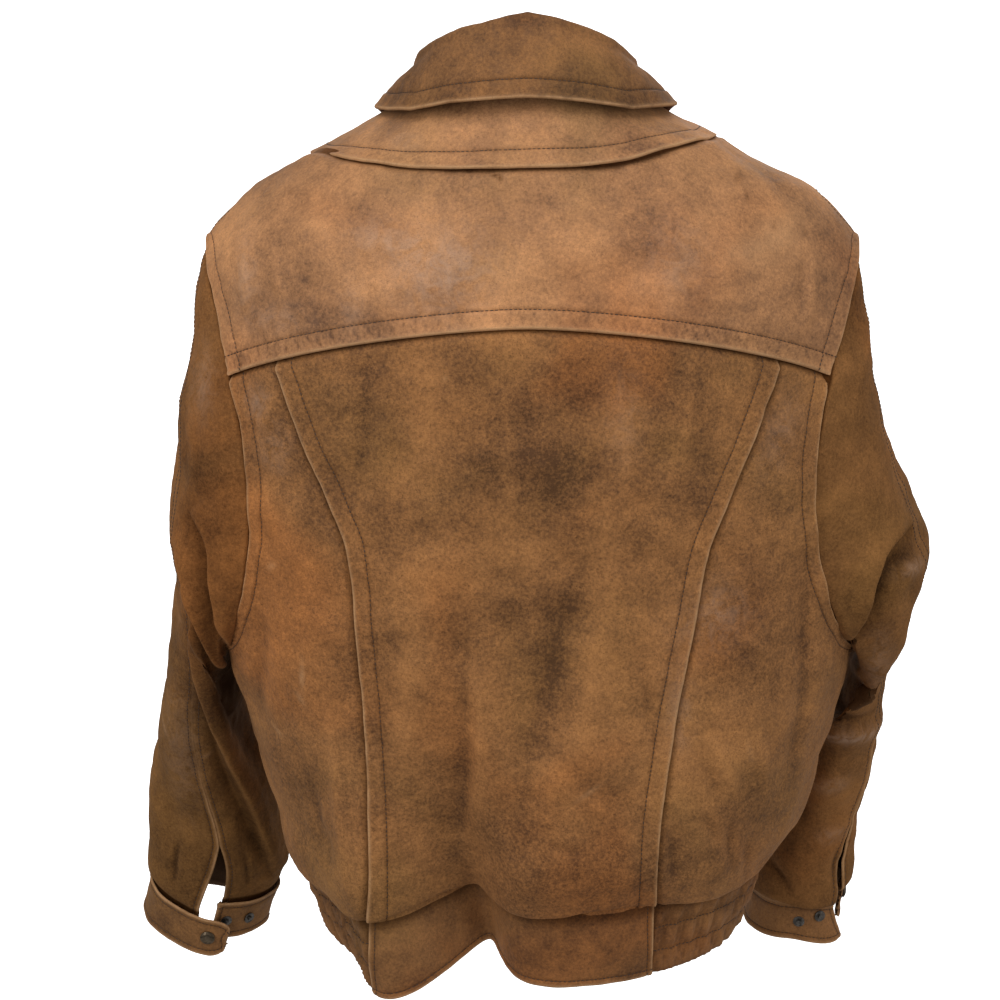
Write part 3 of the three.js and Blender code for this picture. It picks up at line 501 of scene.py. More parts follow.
def strap_surface(sleeve):
    """The cuff strap by the place along it and down it."""
    cuff = sleeve["cuff"]
    start, end = strap_ends(sleeve)

    def surface(t, v):
        t, v = np.broadcast_arrays(np.asarray(t, float), np.asarray(v, float))
        turn = mix(start - cuff["lean"] * v, end, t)
        lift = tab_lift_at(sleeve, turn)
        flare = cuff["flare"] + cuff["stud_lift"] * smooth(1 - (turn - start) / cuff["run"])
        corner = TAB_CORNER * (1 - np.sqrt(1 - np.clip((t - 1) / TAB_CORNER_SHARE + 1, 0, 1) ** 2))
        drop = 2 * SEAM_GAP + mix(corner, CUFF_HEIGHT - corner, v)
        centre, across, back, along = sleeve_frame(sleeve, np.full(t.shape, float(LAST_STATION)))
        share = (drop / CUFF_HEIGHT)[..., None]
        grow = 1 + (flare[..., None] * share + lift[..., None]) / WRIST
        down = (drop + sag_at(sleeve, turn))[..., None]
        angle = np.radians(turn)[..., None]
        ring = across * np.cos(angle) + back * np.sin(angle)
        return centre + along * down + unit(across) * cuff["swing"] * share + grow * ring

    return surface


# ------------------------------------------------------------------ collar surfaces


def torso_floor(angle, reach):
    """The height of the body's leather at a distance from the neck's axis."""
    low = np.full(angle.shape, SHOULDER_LEVEL - 60)
    high = np.full(angle.shape, NECK_LEVEL)
    for _ in range(30):
        middle = (low + high) / 2
        p = torso(angle, middle)
        outside = np.hypot(p[..., 0], p[..., 1]) > reach
        low = np.where(outside, middle, low)
        high = np.where(outside, high, middle)
    return torso(angle, low)[..., 2]


def collar_frame(angle):
    a = np.abs(angle)
    stand, reach, drop = (table_at(COLLAR_SHAPE, a, column) for column in (1, 2, 3))
    base = torso(angle, NECK_LEVEL)
    outwards = np.stack([np.sin(np.radians(angle)), -np.cos(np.radians(angle)), 0 * angle], axis=-1)

    def at(out, up):
        place = base + outwards * np.asarray(out)[..., None]
        place[..., 2] += up
        return place

    edge = at(reach, -drop)
    floor = torso_floor(angle, np.hypot(edge[..., 0], edge[..., 1])) + FALL_CLEARANCE
    edge[..., 2] = np.maximum(edge[..., 2], floor)
    return at, stand, edge


def spline(points, s):
    """A smooth curve through points that stand on the first axis, at places s from 0 to 1."""
    count = len(points)
    place = np.clip(s, 0, 1) * (count - 1)
    k = np.clip(np.floor(place).astype(int), 0, count - 2)
    t = (place - k)[..., None]
    stack = np.stack(points)

    def pick(n):
        index = np.clip(n, 0, count - 1)
        return np.take_along_axis(stack, index[None, ..., None].repeat(3, axis=-1), axis=0)[0]

    p0, p1, p2, p3 = pick(k - 1), pick(k), pick(k + 1), pick(k + 2)
    return 0.5 * (
        2 * p1 + (p2 - p0) * t + (2 * p0 - 5 * p1 + 4 * p2 - p3) * t**2 + (3 * p1 - p0 - 3 * p2 + p3) * t**3
    )


def fall_surface(t, v):
    t, v = np.broadcast_arrays(np.asarray(t, float), np.asarray(v, float))
    at, stand, edge = collar_frame(mix(-COLLAR_END, COLLAR_END, np.clip(t, 0, 1)))
    shoulder = at(10 + stand * 0.05, stand - 5)
    body = []
    for share in (0, 0.28, 0.55, 0.8):
        point = mix(edge, shoulder, share)
        point[..., 2] += 5 * math.sin(math.pi * share)
        body.append(point)
    roll = [shoulder, at(9, stand + 1.5), at(5, stand + 3), at(1, stand + 1.2), at(-0.5, stand - 5)]
    return spline(body + roll, v)


def stand_surface(t, v):
    t, v = np.broadcast_arrays(np.asarray(t, float), np.asarray(v, float))
    at, stand, _ = collar_frame(mix(-COLLAR_END, COLLAR_END, np.clip(t, 0, 1)))
    return at(5 * v * v - 1.5, -1.5 + (stand - 2) * v)


# ------------------------------------------------------------------ fine grids on the surfaces

FLAT_EDGE = (0, 1.5, 4)
DEEP_EDGE = (-7, -4, -1.5, 0, 1.2, 2.6, 4.4, 6.5)
TUCKED_EDGE = (-6.5, -3.5, -1.5, 0, 1.2, 2.6, 4.4, 6.5)
BAND_EDGE = (0, 0.35, 0.8, 1.5, 2.5, 3.9, 5.7, 7.6, 9.6, 11.5, 12.9, 13.8, 14.6, 15.5, 16.8, 18.8)
NARROW_EDGE = (0, 0.35, 0.8, 1.5, 2.5, 3.7, 4.7, 5.4, 6.2, 7.4, 9)


def spaced(length, start, end, step):
    """Places along each length: the given offsets at its two ends, and even steps between them."""
    start, end = np.array(start, float), np.array(end, float)
    used = start[-1] + end[-1]
    squeeze = np.minimum(1, 0.8 * length / max(used, 1e-6))[:, None]
    count = max(2, int(math.ceil((length.max() - used) / step)))
    first, last = start[None] * squeeze, end[None] * squeeze
    room = length[:, None] - first[:, -1:] - last[:, -1:]
    middle = first[:, -1:] + room * np.linspace(0, 1, count + 1)[None, 1:-1]
    return np.concatenate([first, middle, length[:, None] - last[:, ::-1]], axis=1)


def run_lengths(points, axis):
    steps = np.linalg.norm(np.diff(points, axis=axis), axis=-1)
    pad = [(0, 0), (0, 0)]
    pad[axis] = (1, 0)
    return np.cumsum(np.pad(steps, pad), axis=axis)


class Patch:
    """A fine grid on a surface. It knows how far each point is from the piece's four edges: first and last
    across it, low and high up it. Relief, wear, stains, painted shade and painted highlights are added to it
    before it becomes a mesh."""

    SAMPLES = np.linspace(-0.15, 1.15, 131)

    def __init__(self, surface, edges, step, flip=False):
        ts = self.SAMPLES
        grid = surface(ts[None, :], ts[:, None])
        up = run_lengths(grid, 0)
        zero, one = np.searchsorted(ts, 0 - 1e-9), np.searchsorted(ts, 1 - 1e-9)
        tall = up[one] - up[zero]
        places = spaced(tall, edges["low"], edges["high"], step).T
        v_at = np.empty(places.shape)
        for c in range(len(ts)):
            v_at[:, c] = np.interp(places[:, c] + up[zero, c], up[:, c], ts)
        rows = surface(ts[None, :], v_at)
        across = run_lengths(rows, 1)
        wide = across[:, one] - across[:, zero]
        columns = spaced(wide, edges["first"], edges["last"], step)
        shape = columns.shape
        t, v, self.low, tall_at = (np.empty(shape) for _ in range(4))
        for j in range(shape[0]):
            t[j] = np.interp(columns[j] + across[j, zero], across[j], ts)
            v[j] = np.interp(t[j], ts, v_at[j])
            self.low[j] = np.interp(t[j], ts, places[j])
            tall_at[j] = np.interp(t[j], ts, tall)
        self.high = tall_at - self.low
        self.first = columns
        self.last = wide[:, None] - columns
        self.t, self.v = t, v
        self.flip = flip
        self.points = surface(t, v)
        self.normals = self.normals_of(self.points)
        self.flat = (float(wide.max()), float(tall_at.max()))
        inside = grid[zero:one + 1, zero:one + 1]
        cells = np.cross(inside[1:, 1:] - inside[:-1, :-1], inside[1:, :-1] - inside[:-1, 1:])
        self.area = float(np.linalg.norm(cells, axis=-1).sum() / 2)
        self.height = np.zeros(shape)
        self.band = np.zeros(shape)
        self.shift = np.zeros((*shape, 3))
        self.tone, self.shine, self.rub, self.groove = (np.zeros(shape) for _ in range(4))

    def normals_of(self, points):
        normals = unit(np.cross(np.gradient(points, axis=1), np.gradient(points, axis=0)))
        return -normals if self.flip else normals

    def reach(self, edge):
        return getattr(self, edge)

    def run(self, edge):
        return self.low if edge in ("first", "last") else self.first

    def placed(self):
        return self.points + self.normals * (self.height + self.band)[..., None] + self.shift

    def line(self, edge, distance):
        """The placed points and normals along a line at a distance from an edge."""
        points = self.placed()
        normals = self.normals_of(points)
        reach = self.reach(edge)
        if edge in ("first", "last"):
            middle = reach[reach.shape[0] // 2]
            k = int(np.argmin(np.abs(middle - distance)))
            return points[:, k], normals[:, k]
        middle = reach[:, reach.shape[1] // 2]
        k = int(np.argmin(np.abs(middle - distance)))
        return points[k], normals[k]


# ------------------------------------------------------------------ relief

BAND_PROFILE = (
    (0, 0.1), (0.35, 0.8), (0.8, 1.3), (1.5, 1.65), (2.5, 1.6), (3.9, 1.15), (5.7, 0.95), (11.5, 0.9),
    (12.9, 0.7), (13.8, 0.1), (14.6, -0.45), (15.5, -0.05), (16.8, 0.15), (18.8, 0.1), (23, 0),
)
BAND_STITCH = 14.6
NARROW_PROFILE = (
    (0, 0.0), (0.35, 0.5), (0.8, 0.8), (1.5, 0.95), (2.5, 0.9), (3.7, 0.75), (4.7, 0.2), (5.4, -0.3),
    (6.2, 0.1), (7.4, 0.3), (9, 0.25), (16, 0),
)
NARROW_STITCH = 5.4
NARROW_BAND = {"profile": NARROW_PROFILE, "stitch": NARROW_STITCH}
TUCK_DEPTH = 2.3
BALLOON_PUFF = 7.0  # how far the body's leather billows out above the hem seam
BALLOON_DROOP = 12.0  # and how far it hangs down over it
BODY_GRAIN = 51  # the body's pieces share one unevenness, so that their seams stay closed


def waves(points, seed, size):
    """Smooth random relief of about unit height, whose bumps are about `size` across."""
    count = 14
    rng = np.random.default_rng(seed)
    ways = unit(rng.normal(size=(count, 3))) * (2 * math.pi / size) * rng.uniform(0.6, 1.5, (count, 1))
    phases = rng.uniform(0, 2 * math.pi, count)
    total = np.zeros(points.shape[:-1])
    for way, phase in zip(ways, phases):
        total += np.sin(points @ way + phase)
    return total / math.sqrt(count / 2)


def overlay(patch, relief):
    patch.band = np.where(np.abs(relief) > np.abs(patch.band), relief, patch.band)


def raise_band(patch, edge, pucker=0.35, seed=1, share=1.0, profile=BAND_PROFILE, stitch=BAND_STITCH):
    """A turned and topstitched seam allowance: a rolled edge, a raised band and a sunk stitch line."""
    d = patch.reach(edge)
    run = patch.run(edge)
    distances, heights = zip(*profile)
    relief = np.interp(d, distances, heights)
    within = smooth((d - 0.1 * stitch) / (0.2 * stitch)) * smooth((stitch - d) / (0.15 * stitch))
    rng = np.random.default_rng(seed)
    phase = rng.uniform(0, 6.28, 4)
    lean = d * 0.25
    ripple = np.sin((run + lean) * 2 * math.pi / 5.6 + 2.2 * np.sin(run / 19 + phase[0]) + phase[1])
    ripple += 0.6 * np.sin((run - lean) * 2 * math.pi / 9.1 + 1.7 * np.sin(run / 31 + phase[2]) + phase[3])
    swell = 0.55 + 0.45 * np.sin(run / 47 + phase[2])
    relief = relief + 1.6 * pucker * ripple * swell * within
    # Past the stitching the leather is drawn into short folds.
    beyond = smooth((d - stitch) / 2) * np.exp(-np.maximum(d - stitch, 0) / 9)
    relief = relief + pucker * 0.8 * np.sin(run * 2 * math.pi / 13 + 3 * np.sin(run / 37 + phase[0])) * beyond
    overlay(patch, relief * share)
    share = np.broadcast_to(share, d.shape)
    patch.rub = np.maximum(patch.rub, share * np.exp(-(((d - 1.1) / 1.2) ** 2)))
    # The band is a little lighter, and painted shade darkens the hollows of its puckers.
    patch.tone = patch.tone + share * within * (0.03 - 0.20 * pucker * np.minimum(ripple, 0) ** 2)
    # Painted shade in the sunk stitch line.
    patch.groove = np.maximum(patch.groove, share * 0.36 * np.exp(-(((d - stitch) / 0.7) ** 2)))
    patch.groove = np.maximum(patch.groove, share * 0.16 * np.exp(-(((d - stitch) / 2.4) ** 2)))


def tuck(patch, edge, share=1.0, depth=TUCK_DEPTH):
    """An edge that passes under the neighbouring piece, with painted shade along the seam."""
    d = patch.reach(edge)
    low = 1 - smooth(d / 6.5)
    patch.height = patch.height - depth * low * share
    patch.band = patch.band * (1 - low * share)
    patch.groove = np.maximum(patch.groove, share * 0.9 * (1 - smooth((d - 0.2) / 2.2)))
    patch.groove = np.maximum(patch.groove, share * 0.3 * (1 - smooth(d / 7)))


def facing_share(patch, facing):
    """1 where the leather faces the back (-1) or the front (+1), fading to 0 past the sides."""
    return smooth(patch.normals[..., 1] * facing * 2.2 + 0.75)


def path_distance(x, z, path):
    """Signed distance to a smooth path in the plane, and the share of the path's length there."""
    path = np.array(path, float)
    count = len(path)
    steps = np.linspace(0, 1, 12 * (count - 1) + 1)
    flat = np.column_stack([path, np.zeros(count)])
    curve = spline([np.broadcast_to(p, (len(steps), 3)) for p in flat], steps)[:, :2] if count > 2 else (
        mix(path[0], path[1], steps[:, None])
    )
    starts, ends = curve[:-1], curve[1:]
    lengths = np.maximum(np.linalg.norm(ends - starts, axis=1), 1e-9)
    totals = np.concatenate([[0], np.cumsum(lengths)])
    best = np.full(x.shape, 1e9)
    signed = np.zeros(x.shape)
    share = np.zeros(x.shape)
    for n, (a, b) in enumerate(zip(starts, ends)):
        dx, dz = (b - a) / lengths[n]
        along = np.clip((x - a[0]) * dx + (z - a[1]) * dz, 0, lengths[n])
        px, pz = x - a[0] - dx * along, z - a[1] - dz * along
        distance = np.hypot(px, pz)
        closer = distance < best
        best = np.where(closer, distance, best)
        signed = np.where(closer, distance * np.where(dx * pz - dz * px >= 0, 1, -1), signed)
        share = np.where(closer, (totals[n] + along) / totals[-1], share)
    return signed, share


def near_path(patch, facing, path, reach):
    """Where the leather is near a path seen from the back (-1) or front (+1), the signed distance and the
    place along the path there, and how squarely the leather faces that way."""
    x, z = patch.points[..., 0], patch.points[..., 2]
    xs, zs = zip(*path)
    near = (x > min(xs) - reach) & (x < max(xs) + reach) & (z > min(zs) - reach) & (z < max(zs) + reach)
    near &= patch.normals[..., 1] * facing > -0.35
    if not near.any():
        return near, None, None, None
    signed, share = path_distance(x[near], z[near], path)
    along = np.maximum(np.sin(math.pi * np.clip(share, 0, 1)), 0)
    return near, signed, along, facing_share(patch, facing)[near]


def fold(patch, facing, height, left, right, path, dark=0.055):
    """A soft ridge (height above 0) or trough along a path of (x, z) points that runs downwards. Its half
    widths are to the left and right of the path. On a level path, right is above it."""
    near, signed, along, weight = near_path(patch, facing, path, 3 * max(left, right))
    if not near.any():
        return
    width = np.where(signed > 0, right, left)
    weight = weight * along**0.7
    patch.height[near] += height * np.exp(-((signed / width) ** 2)) * weight
    # Painted shade in a trough and painted light on a ridge.
    patch.tone[near] += dark * np.clip(height, -4, 2.5) * np.exp(-((signed / (0.6 * width)) ** 2)) * weight


def lap(patch, facing, height, over, under, path, side=1, dark=0.5):
    """Leather that folds over itself along a path: it stands up on one side (1 right, -1 left) and drops
    into shade on the other."""
    near, signed, along, weight = near_path(patch, facing, path, 3 * max(over, under))
    if not near.any():
        return
    signed = signed * side
    weight = weight * along**0.45
    width = np.where(signed > 0, over, under)
    relief = np.tanh(signed / 1.6) * np.exp(-((signed / width) ** 2))
    patch.height[near] += height * relief * weight
    # Painted shade: a dark line at the fold and a wider shadow on the shaded side.
    line = np.exp(-((signed / np.where(signed > 0, 1.0, 2.4)) ** 2))
    shadow = 0.55 * np.exp(-((signed / (0.8 * under)) ** 2)) * (signed < 0)
    patch.groove[near] = np.maximum(patch.groove[near], dark * np.maximum(line, shadow) * weight)
    # Painted highlight along the raised side.
    lit = np.exp(-(((signed - 2.6) / 2.0) ** 2))
    patch.tone[near] += 0.12 * lit * weight


def blot(patch, channel, facing, amount, x, z, half_x, half_z, tilt=0.0):
    """A soft patch of stain, gloss with a painted highlight, wear or painted shade."""
    turn = math.radians(tilt)
    dx, dz = patch.points[..., 0] - x, patch.points[..., 2] - z
    u = (dx * math.cos(turn) + dz * math.sin(turn)) / half_x
    w = (-dx * math.sin(turn) + dz * math.cos(turn)) / half_z
    spot = np.exp(-(u * u + w * w)) * facing_share(patch, facing)
    setattr(patch, channel, getattr(patch, channel) + amount * spot)


def dress(patch, folds=(), laps=(), blots=()):
    for entry in folds:
        fold(patch, *entry)
    for entry in laps:
        lap(patch, *entry)
    for entry in blots:
        blot(patch, *entry)


def balloon(patch):
    """The body's leather billows out above the hem seam and hangs over it."""
    d = np.maximum(patch.low, 0)
    x = patch.points[..., 0]
    full = 0.72 + 0.28 * np.sin(x / 24 + 1.9)
    patch.height += full * BALLOON_PUFF * smooth(d / 6) * np.exp(-(((d - 9) / 22) ** 2))
    patch.shift[..., 2] -= full * BALLOON_DROOP * smooth(d / 4) * np.exp(-d / 15)


def shade_under(patch):
    """The shade on the top of the hem band, under the leather that hangs over it."""
    patch.groove = np.maximum(patch.groove, 0.66 * (1 - smooth((patch.high - 7) / 13)))
    patch.tone = patch.tone - 0.07 * (1 - smooth((patch.high - 12) / 24))


def sleeve_balloon(patch, puff, droop):
    """The back of a sleeve billows over the top of its cuff."""
    d = np.maximum(patch.high, 0)
    full = facing_share(patch, -1) * (0.8 + 0.2 * np.sin(patch.points[..., 0] / 9))
    patch.height += full * puff * smooth(d / 5) * np.exp(-(((d - 7) / 18) ** 2))
    patch.shift[..., 2] -= full * droop * smooth(d / 3) * np.exp(-d / 16)


def crumple(patch, seed, amount=1.0):
    """The soft unevenness of old leather, in three sizes."""
    p = patch.points
    relief = 0.9 * waves(p, seed, 95) + 0.42 * waves(p, seed + 1, 38) + 0.16 * waves(p, seed + 2, 15)
    patch.height += amount * relief
    patch.tone += 0.035 * waves(p, seed + 3, 70)


# ------------------------------------------------------------------ folds, wear, painted shade and painted highlights, placed one by one

# Folds: the way they face (-1 back, 1 front), height, half widths to the left and right, then (x, z) points,
# and for some the strength of their painted shade and light.
YOKE_FOLDS = (
    (-1, 1.8, 5, 5, ((-211, -125), (-212, -150), (-210, -182))),
    (-1, 1.4, 4, 4, ((-200, -165), (-201, -192))),
    (-1, 1.2, 3, 3, ((-189, -133), (-185, -168))),
    (-1, 1.3, 4, 4, ((-109, -138), (-106, -172))),
    (-1, 1.3, 3, 3, ((-127, -152), (-127, -178))),
    (-1, 1.1, 3.5, 3.5, ((-57, -122), (-60, -162))),
    (-1, 0.9, 3, 3, ((-100, -148), (-99, -170))),
    (-1, 1.7, 5, 5, ((214, -130), (212, -165), (208, -192))),
    (-1, -1.3, 4, 4, ((205, -135), (203, -178))),
)
BACK_FOLDS = (
    (-1, -5.5, 16, 22, ((45, -325), (28, -395), (10, -470), (-2, -525), (-10, -585))),
    (-1, 3.6, 14, 18, ((62, -375), (45, -450), (30, -535))),
    (-1, -4.8, 15, 8, ((-48, -405), (-50, -530), (-57, -600))),
    (-1, 3.0, 8, 15, ((-34, -430), (-37, -520), (-43, -585))),
    (-1, 3.0, 20, 20, ((-90, -355), (-90, -460), (-96, -560))),
    (-1, -2.2, 5, 9, ((-120, -200), (-123, -265), (-132, -315))),
    (-1, 2.0, 6, 6, ((118, -200), (118, -245), (110, -295))),
    (-1, 1.7, 8, 8, ((68, -220), (72, -280), (72, -330))),
    (-1, 1.6, 8, 10, ((-20, -215), (-14, -280), (-18, -345))),
    (-1, -2.4, 4, 5, ((84, -425), (92, -475), (97, -510))),
    (-1, -1.8, 5, 4, ((14, -567), (29, -574), (45, -574))),
    (-1, 1.6, 5, 5, ((44, -532), (60, -548))),
    (-1, -5.0, 7, 10, ((-207, -390), (-210, -450), (-217, -508))),
    (-1, -2.8, 5, 5, ((-170, -540), (-164, -572), (-161, -606))),
    (-1, -2.2, 3.5, 3.5, ((-158, -570), (-154, -608))),
    (-1, 2.6, 6, 6, ((-152, -490), (-147, -550), (-141, -604))),
    (-1, -5.0, 10, 7, ((212, -355), (215, -450), (213, -500), (205, -562))),
    (-1, 2.4, 7, 7, ((138, -490), (151, -520), (163, -552))),
    (-1, -2.4, 5, 5, ((126, -496), (140, -530), (149, -558))),
    (-1, 2.2, 6, 6, ((173, -485), (180, -520), (187, -552))),
    (-1, 1.9, 6, 6, ((158, -410), (172, -424), (188, -438))),
    (-1, -2.8, 4, 5, ((111, -560), (112, -612))),
    (-1, -2.4, 4, 4, ((135, -555), (147, -583))),
    (-1, -2.6, 4, 4, ((156, -562), (159, -612))),
    (-1, -2.4, 4, 4, ((173, -586), (169, -622))),
    (-1, 2.0, 5, 5, ((185, -225), (196, -262), (205, -290))),
    (-1, -1.8, 4, 4, ((176, -232), (187, -274))),
    (-1, 2.0, 5, 5, ((-188, -235), (-202, -266))),
)
FRONT_FOLDS = (
    (1, -4.0, 12, 16, ((-196, -300), (-150, -345), (-95, -400), (-62, -450))),
    (1, 3.0, 12, 12, ((-200, -340), (-160, -390), (-115, -450))),
    (1, -4.2, 16, 12, ((192, -300), (146, -350), (96, -410), (66, -470))),
    (1, 3.0, 12, 12, ((200, -345), (158, -398), (120, -455))),
    (1, -3.6, 12, 12, ((-120, -430), (-112, -510), (-106, -600))),
    (1, 3.2, 14, 14, ((-70, -420), (-72, -500), (-66, -600))),
    (1, -3.6, 12, 12, ((124, -430), (112, -510), (104, -600))),
    (1, 3.2, 14, 14, ((78, -430), (70, -510), (66, -600))),
    (1, -2.6, 4, 5, ((-150, -560), (-146, -618))),
    (1, -2.4, 4, 4, ((-90, -580), (-88, -630))),
    (1, -2.6, 5, 4, ((152, -560), (147, -616))),
    (1, -2.4, 4, 4, ((92, -585), (88, -630))),
    (1, 1.8, 6, 6, ((-120, -190), (-112, -250), (-100, -300))),
    (1, 1.8, 6, 6, ((126, -190), (116, -255), (104, -305))),
    (1, -4.0, 8, 10, ((-214, -390), (-212, -450), (-208, -520))),
    (1, -4.0, 10, 8, ((218, -390), (214, -450), (208, -520))),
)
LEFT_SLEEVE_FOLDS = (
    (-1, -8.0, 8, 9, ((-250, -490), (-240, -532), (-232, -568), (-226, -604)), 0.10),
    (-1, -3.4, 3, 4, ((-300, -655), (-304, -675), (-307, -700)), 0.10),
    (-1, -2.6, 3, 3, ((-243, -668), (-242, -708)), 0.08),
    (-1, -3.2, 4, 4, ((-237, -645), (-228, -677), (-221, -706)), 0.08),
    (-1, 2.4, 12, 12, ((-292, -470), (-296, -540), (-300, -620))),
    (-1, -2.0, 8, 8, ((-278, -520), (-281, -600), (-286, -650))),
    (-1, 2.0, 6, 6, ((-262, -215), (-256, -270), (-258, -318))),
    (1, -4.5, 6, 8, ((-300, -405), (-276, -425), (-248, -470))),
    (1, 3.0, 8, 8, ((-305, -440), (-280, -462), (-250, -500))),
    (1, -3.6, 6, 6, ((-300, -480), (-275, -500), (-242, -540))),
    (1, -3.0, 4, 4, ((-300, -655), (-304, -700)), 0.10),
    (1, -3.0, 4, 4, ((-262, -655), (-258, -705)), 0.10),
    (1, -2.6, 4, 4, ((-280, -660), (-280, -705)), 0.10),
)
RIGHT_SLEEVE_FOLDS = (
    (-1, -6.5, 9, 12, ((306, -374), (290, -378), (279, -392), (272, -420)), 0.10),
    (-1, 3.4, 7, 8, ((290, -384), (303, -388), (316, -398))),
    (-1, 7.0, 12, 5, ((232, -524), (250, -537), (268, -541), (302, -547))),
    (-1, -4.5, 5, 6, ((230, -512), (248, -525), (268, -529), (290, -531)), 0.09),
    (-1, 3.0, 6, 8, ((268, -478), (280, -495), (294, -514))),
    (-1, -3.0, 5, 6, ((262, -486), (272, -503), (284, -518))),
    (-1, -3.4, 4, 4, ((208, -680), (217, -690), (230, -703)), 0.08),
    (-1, 2.6, 8, 8, ((262, -585), (252, -594), (238, -600))),
    (-1, 2.6, 8, 8, ((280, -640), (262, -650), (244, -655))),
    (-1, -3.0, 8, 10, ((236, -560), (232, -610), (236, -650))),
    (-1, 2.0, 8, 8, ((278, -200), (280, -260), (286, -320))),
    (-1, -2.4, 4, 4, ((270, -665), (266, -705)), 0.08),
    (1, -4.5, 6, 8, ((320, -392), (296, -420), (268, -466))),
    (1, 3.0, 8, 8, ((316, -430), (292, -458), (266, -500))),
    (1, -3.6, 6, 6, ((304, -470), (282, -500), (256, -540))),
    (1, -3.0, 4, 4, ((266, -655), (268, -705)), 0.10),
    (1, -3.0, 4, 4, ((224, -655), (222, -705)), 0.10),
    (1, -2.6, 4, 4, ((246, -660), (246, -705)), 0.10),
)
# Laps: facing, height, widths of the upper and the shaded side, points, the upper side (1 right,
# -1 left), shade.
LEFT_SLEEVE_LAPS = (
    (-1, 8.0, 18, 12, ((-264, -336), (-248, -357), (-246, -385), (-242, -425), (-238, -455)), 1, 0.95),
    (
        -1, 7.5, 14, 12,
        ((-277, -368), (-268, -412), (-270, -455), (-266, -510), (-254, -570), (-236, -640), (-223, -702)),
        1, 0.8,
    ),
    (-1, 7.0, 13, 10, ((-270, -396), (-256, -445), (-249, -490), (-237, -528)), 1, 0.85),
)
RIGHT_SLEEVE_LAPS = (
    (
        -1, 9.0, 16, 14, ((306, -356), (288, -361), (276, -371), (270, -392), (266, -412), (254, -445)),
        -1, 1.0,
    ),
)
# Patches: channel, facing, amount, x, z, half width, half height, tilt in degrees. Shiny patches are glossier
# and carry a painted highlight.
YOKE_BLOTS = (
    ("tone", -1, -0.16, -122, -100, 20, 12, -20),
    ("tone", -1, -0.15, -168, -145, 16, 24),
    ("tone", -1, -0.14, -109, -128, 12, 6),
    ("tone", -1, -0.08, -142, -94, 14, 8),
    ("tone", -1, -0.10, -150, -175, 50, 12),
    ("tone", -1, 0.08, -25, -125, 60, 26),
    ("tone", -1, -0.10, 122, -152, 22, 28),
    ("tone", -1, -0.08, 165, -172, 30, 12),
    ("tone", -1, 0.06, 195, -120, 40, 26),
    ("shine", -1, 0.60, -62, -140, 34, 28),
    ("shine", -1, 0.40, -105, -116, 28, 12),
    ("shine", -1, 0.40, -211, -152, 9, 32),
    ("shine", -1, 0.30, -128, -165, 9, 18),
    ("shine", -1, 0.30, -188, -178, 18, 10),
    ("shine", -1, 0.32, 108, -132, 24, 26),
    ("rub", -1, 0.35, 190, -118, 26, 14, 20),
    ("rub", -1, 0.30, 152, -128, 20, 10),
    # Tears, painted as small dark slits.
    ("groove", -1, 0.90, -24, -71, 2.6, 1.6),
    ("groove", -1, 0.80, -20, -73, 1.4, 2.4),
    ("groove", -1, 0.35, 156, -78, 3.2, 4),
    ("groove", -1, 0.45, 162, -90, 1.0, 4, 15),
    ("groove", -1, 0.35, 183, -112, 1.4, 2.4),
    ("groove", -1, 0.35, 209, -117, 1.4, 2.4),
    ("groove", -1, 0.50, -178, -88, 1.0, 1.2),
)
SADDLE_BLOTS = (
    ("tone", -1, -0.10, -94, -42, 24, 16),
    ("tone", -1, 0.05, 20, -40, 50, 12),
    ("shine", -1, 0.25, -92, -48, 14, 10),
)
BACK_BLOTS = (
    ("tone", -1, -0.14, 8, -262, 34, 44),
    ("tone", -1, -0.12, -110, -248, 20, 46),
    ("tone", -1, 0.14, -90, -292, 24, 24),
    ("tone", -1, -0.10, -42, -262, 20, 40),
    ("tone", -1, 0.14, -78, -400, 26, 66),
    ("tone", -1, -0.06, -4, -385, 20, 40),
    ("tone", -1, 0.11, 52, -430, 18, 66),
    ("tone", -1, -0.07, 4, -490, 18, 76, -12),
    ("tone", -1, -0.07, 88, -300, 22, 60),
    ("tone", -1, 0.07, 70, -250, 16, 50),
    ("tone", -1, -0.06, 40, -590, 55, 22),
    ("tone", -1, -0.14, -148, -358, 15, 32),
    ("tone", -1, 0.08, -175, -420, 20, 38),
    ("tone", -1, -0.14, -172, -545, 16, 36),
    ("tone", -1, -0.10, 168, -380, 26, 60),
    ("tone", -1, -0.06, 150, -560, 40, 30),
    ("shine", -1, 0.50, -201, -243, 10, 14, 30),
    ("shine", -1, 0.35, -190, -278, 12, 18),
    ("shine", -1, 0.22, 70, -240, 14, 36),
    ("shine", -1, 0.40, 140, -398, 28, 22, 15),
    ("shine", -1, 0.36, 114, -470, 10, 30),
    ("shine", -1, 0.25, 190, -262, 14, 30, -20),
    ("rub", -1, 0.60, -172, -452, 1.7, 12),
    ("rub", -1, 0.50, -175, -470, 2.0, 6, 30),
    ("rub", -1, 0.45, -195, -368, 4, 2.5, 30),
    ("rub", -1, 0.50, -196, -505, 6, 1.5, -40),
    ("rub", -1, 0.40, -60, -215, 1.6, 1.6),
    ("rub", -1, 0.30, 46, -528, 12, 2.0, 35),
    ("rub", -1, 0.35, 170, -512, 1.6, 10, 15),
)
FRONT_BLOTS = (
    ("tone", 1, -0.13, -90, -330, 40, 50),
    ("tone", 1, 0.10, -110, -240, 40, 34),
    ("tone", 1, -0.10, 60, -260, 34, 50),
    ("tone", 1, 0.11, 110, -360, 36, 50),
    ("tone", 1, -0.10, -60, -560, 40, 40),
    ("tone", 1, 0.08, 60, -560, 34, 50),
    ("shine", 1, 0.35, -120, -200, 34, 22),
    ("shine", 1, 0.30, 130, -210, 34, 26),
    ("shine", 1, 0.25, 90, -460, 24, 30),
    ("rub", 1, 0.50, -140, -420, 2, 11),
    ("rub", 1, 0.45, 150, -500, 7, 1.6, 30),
)
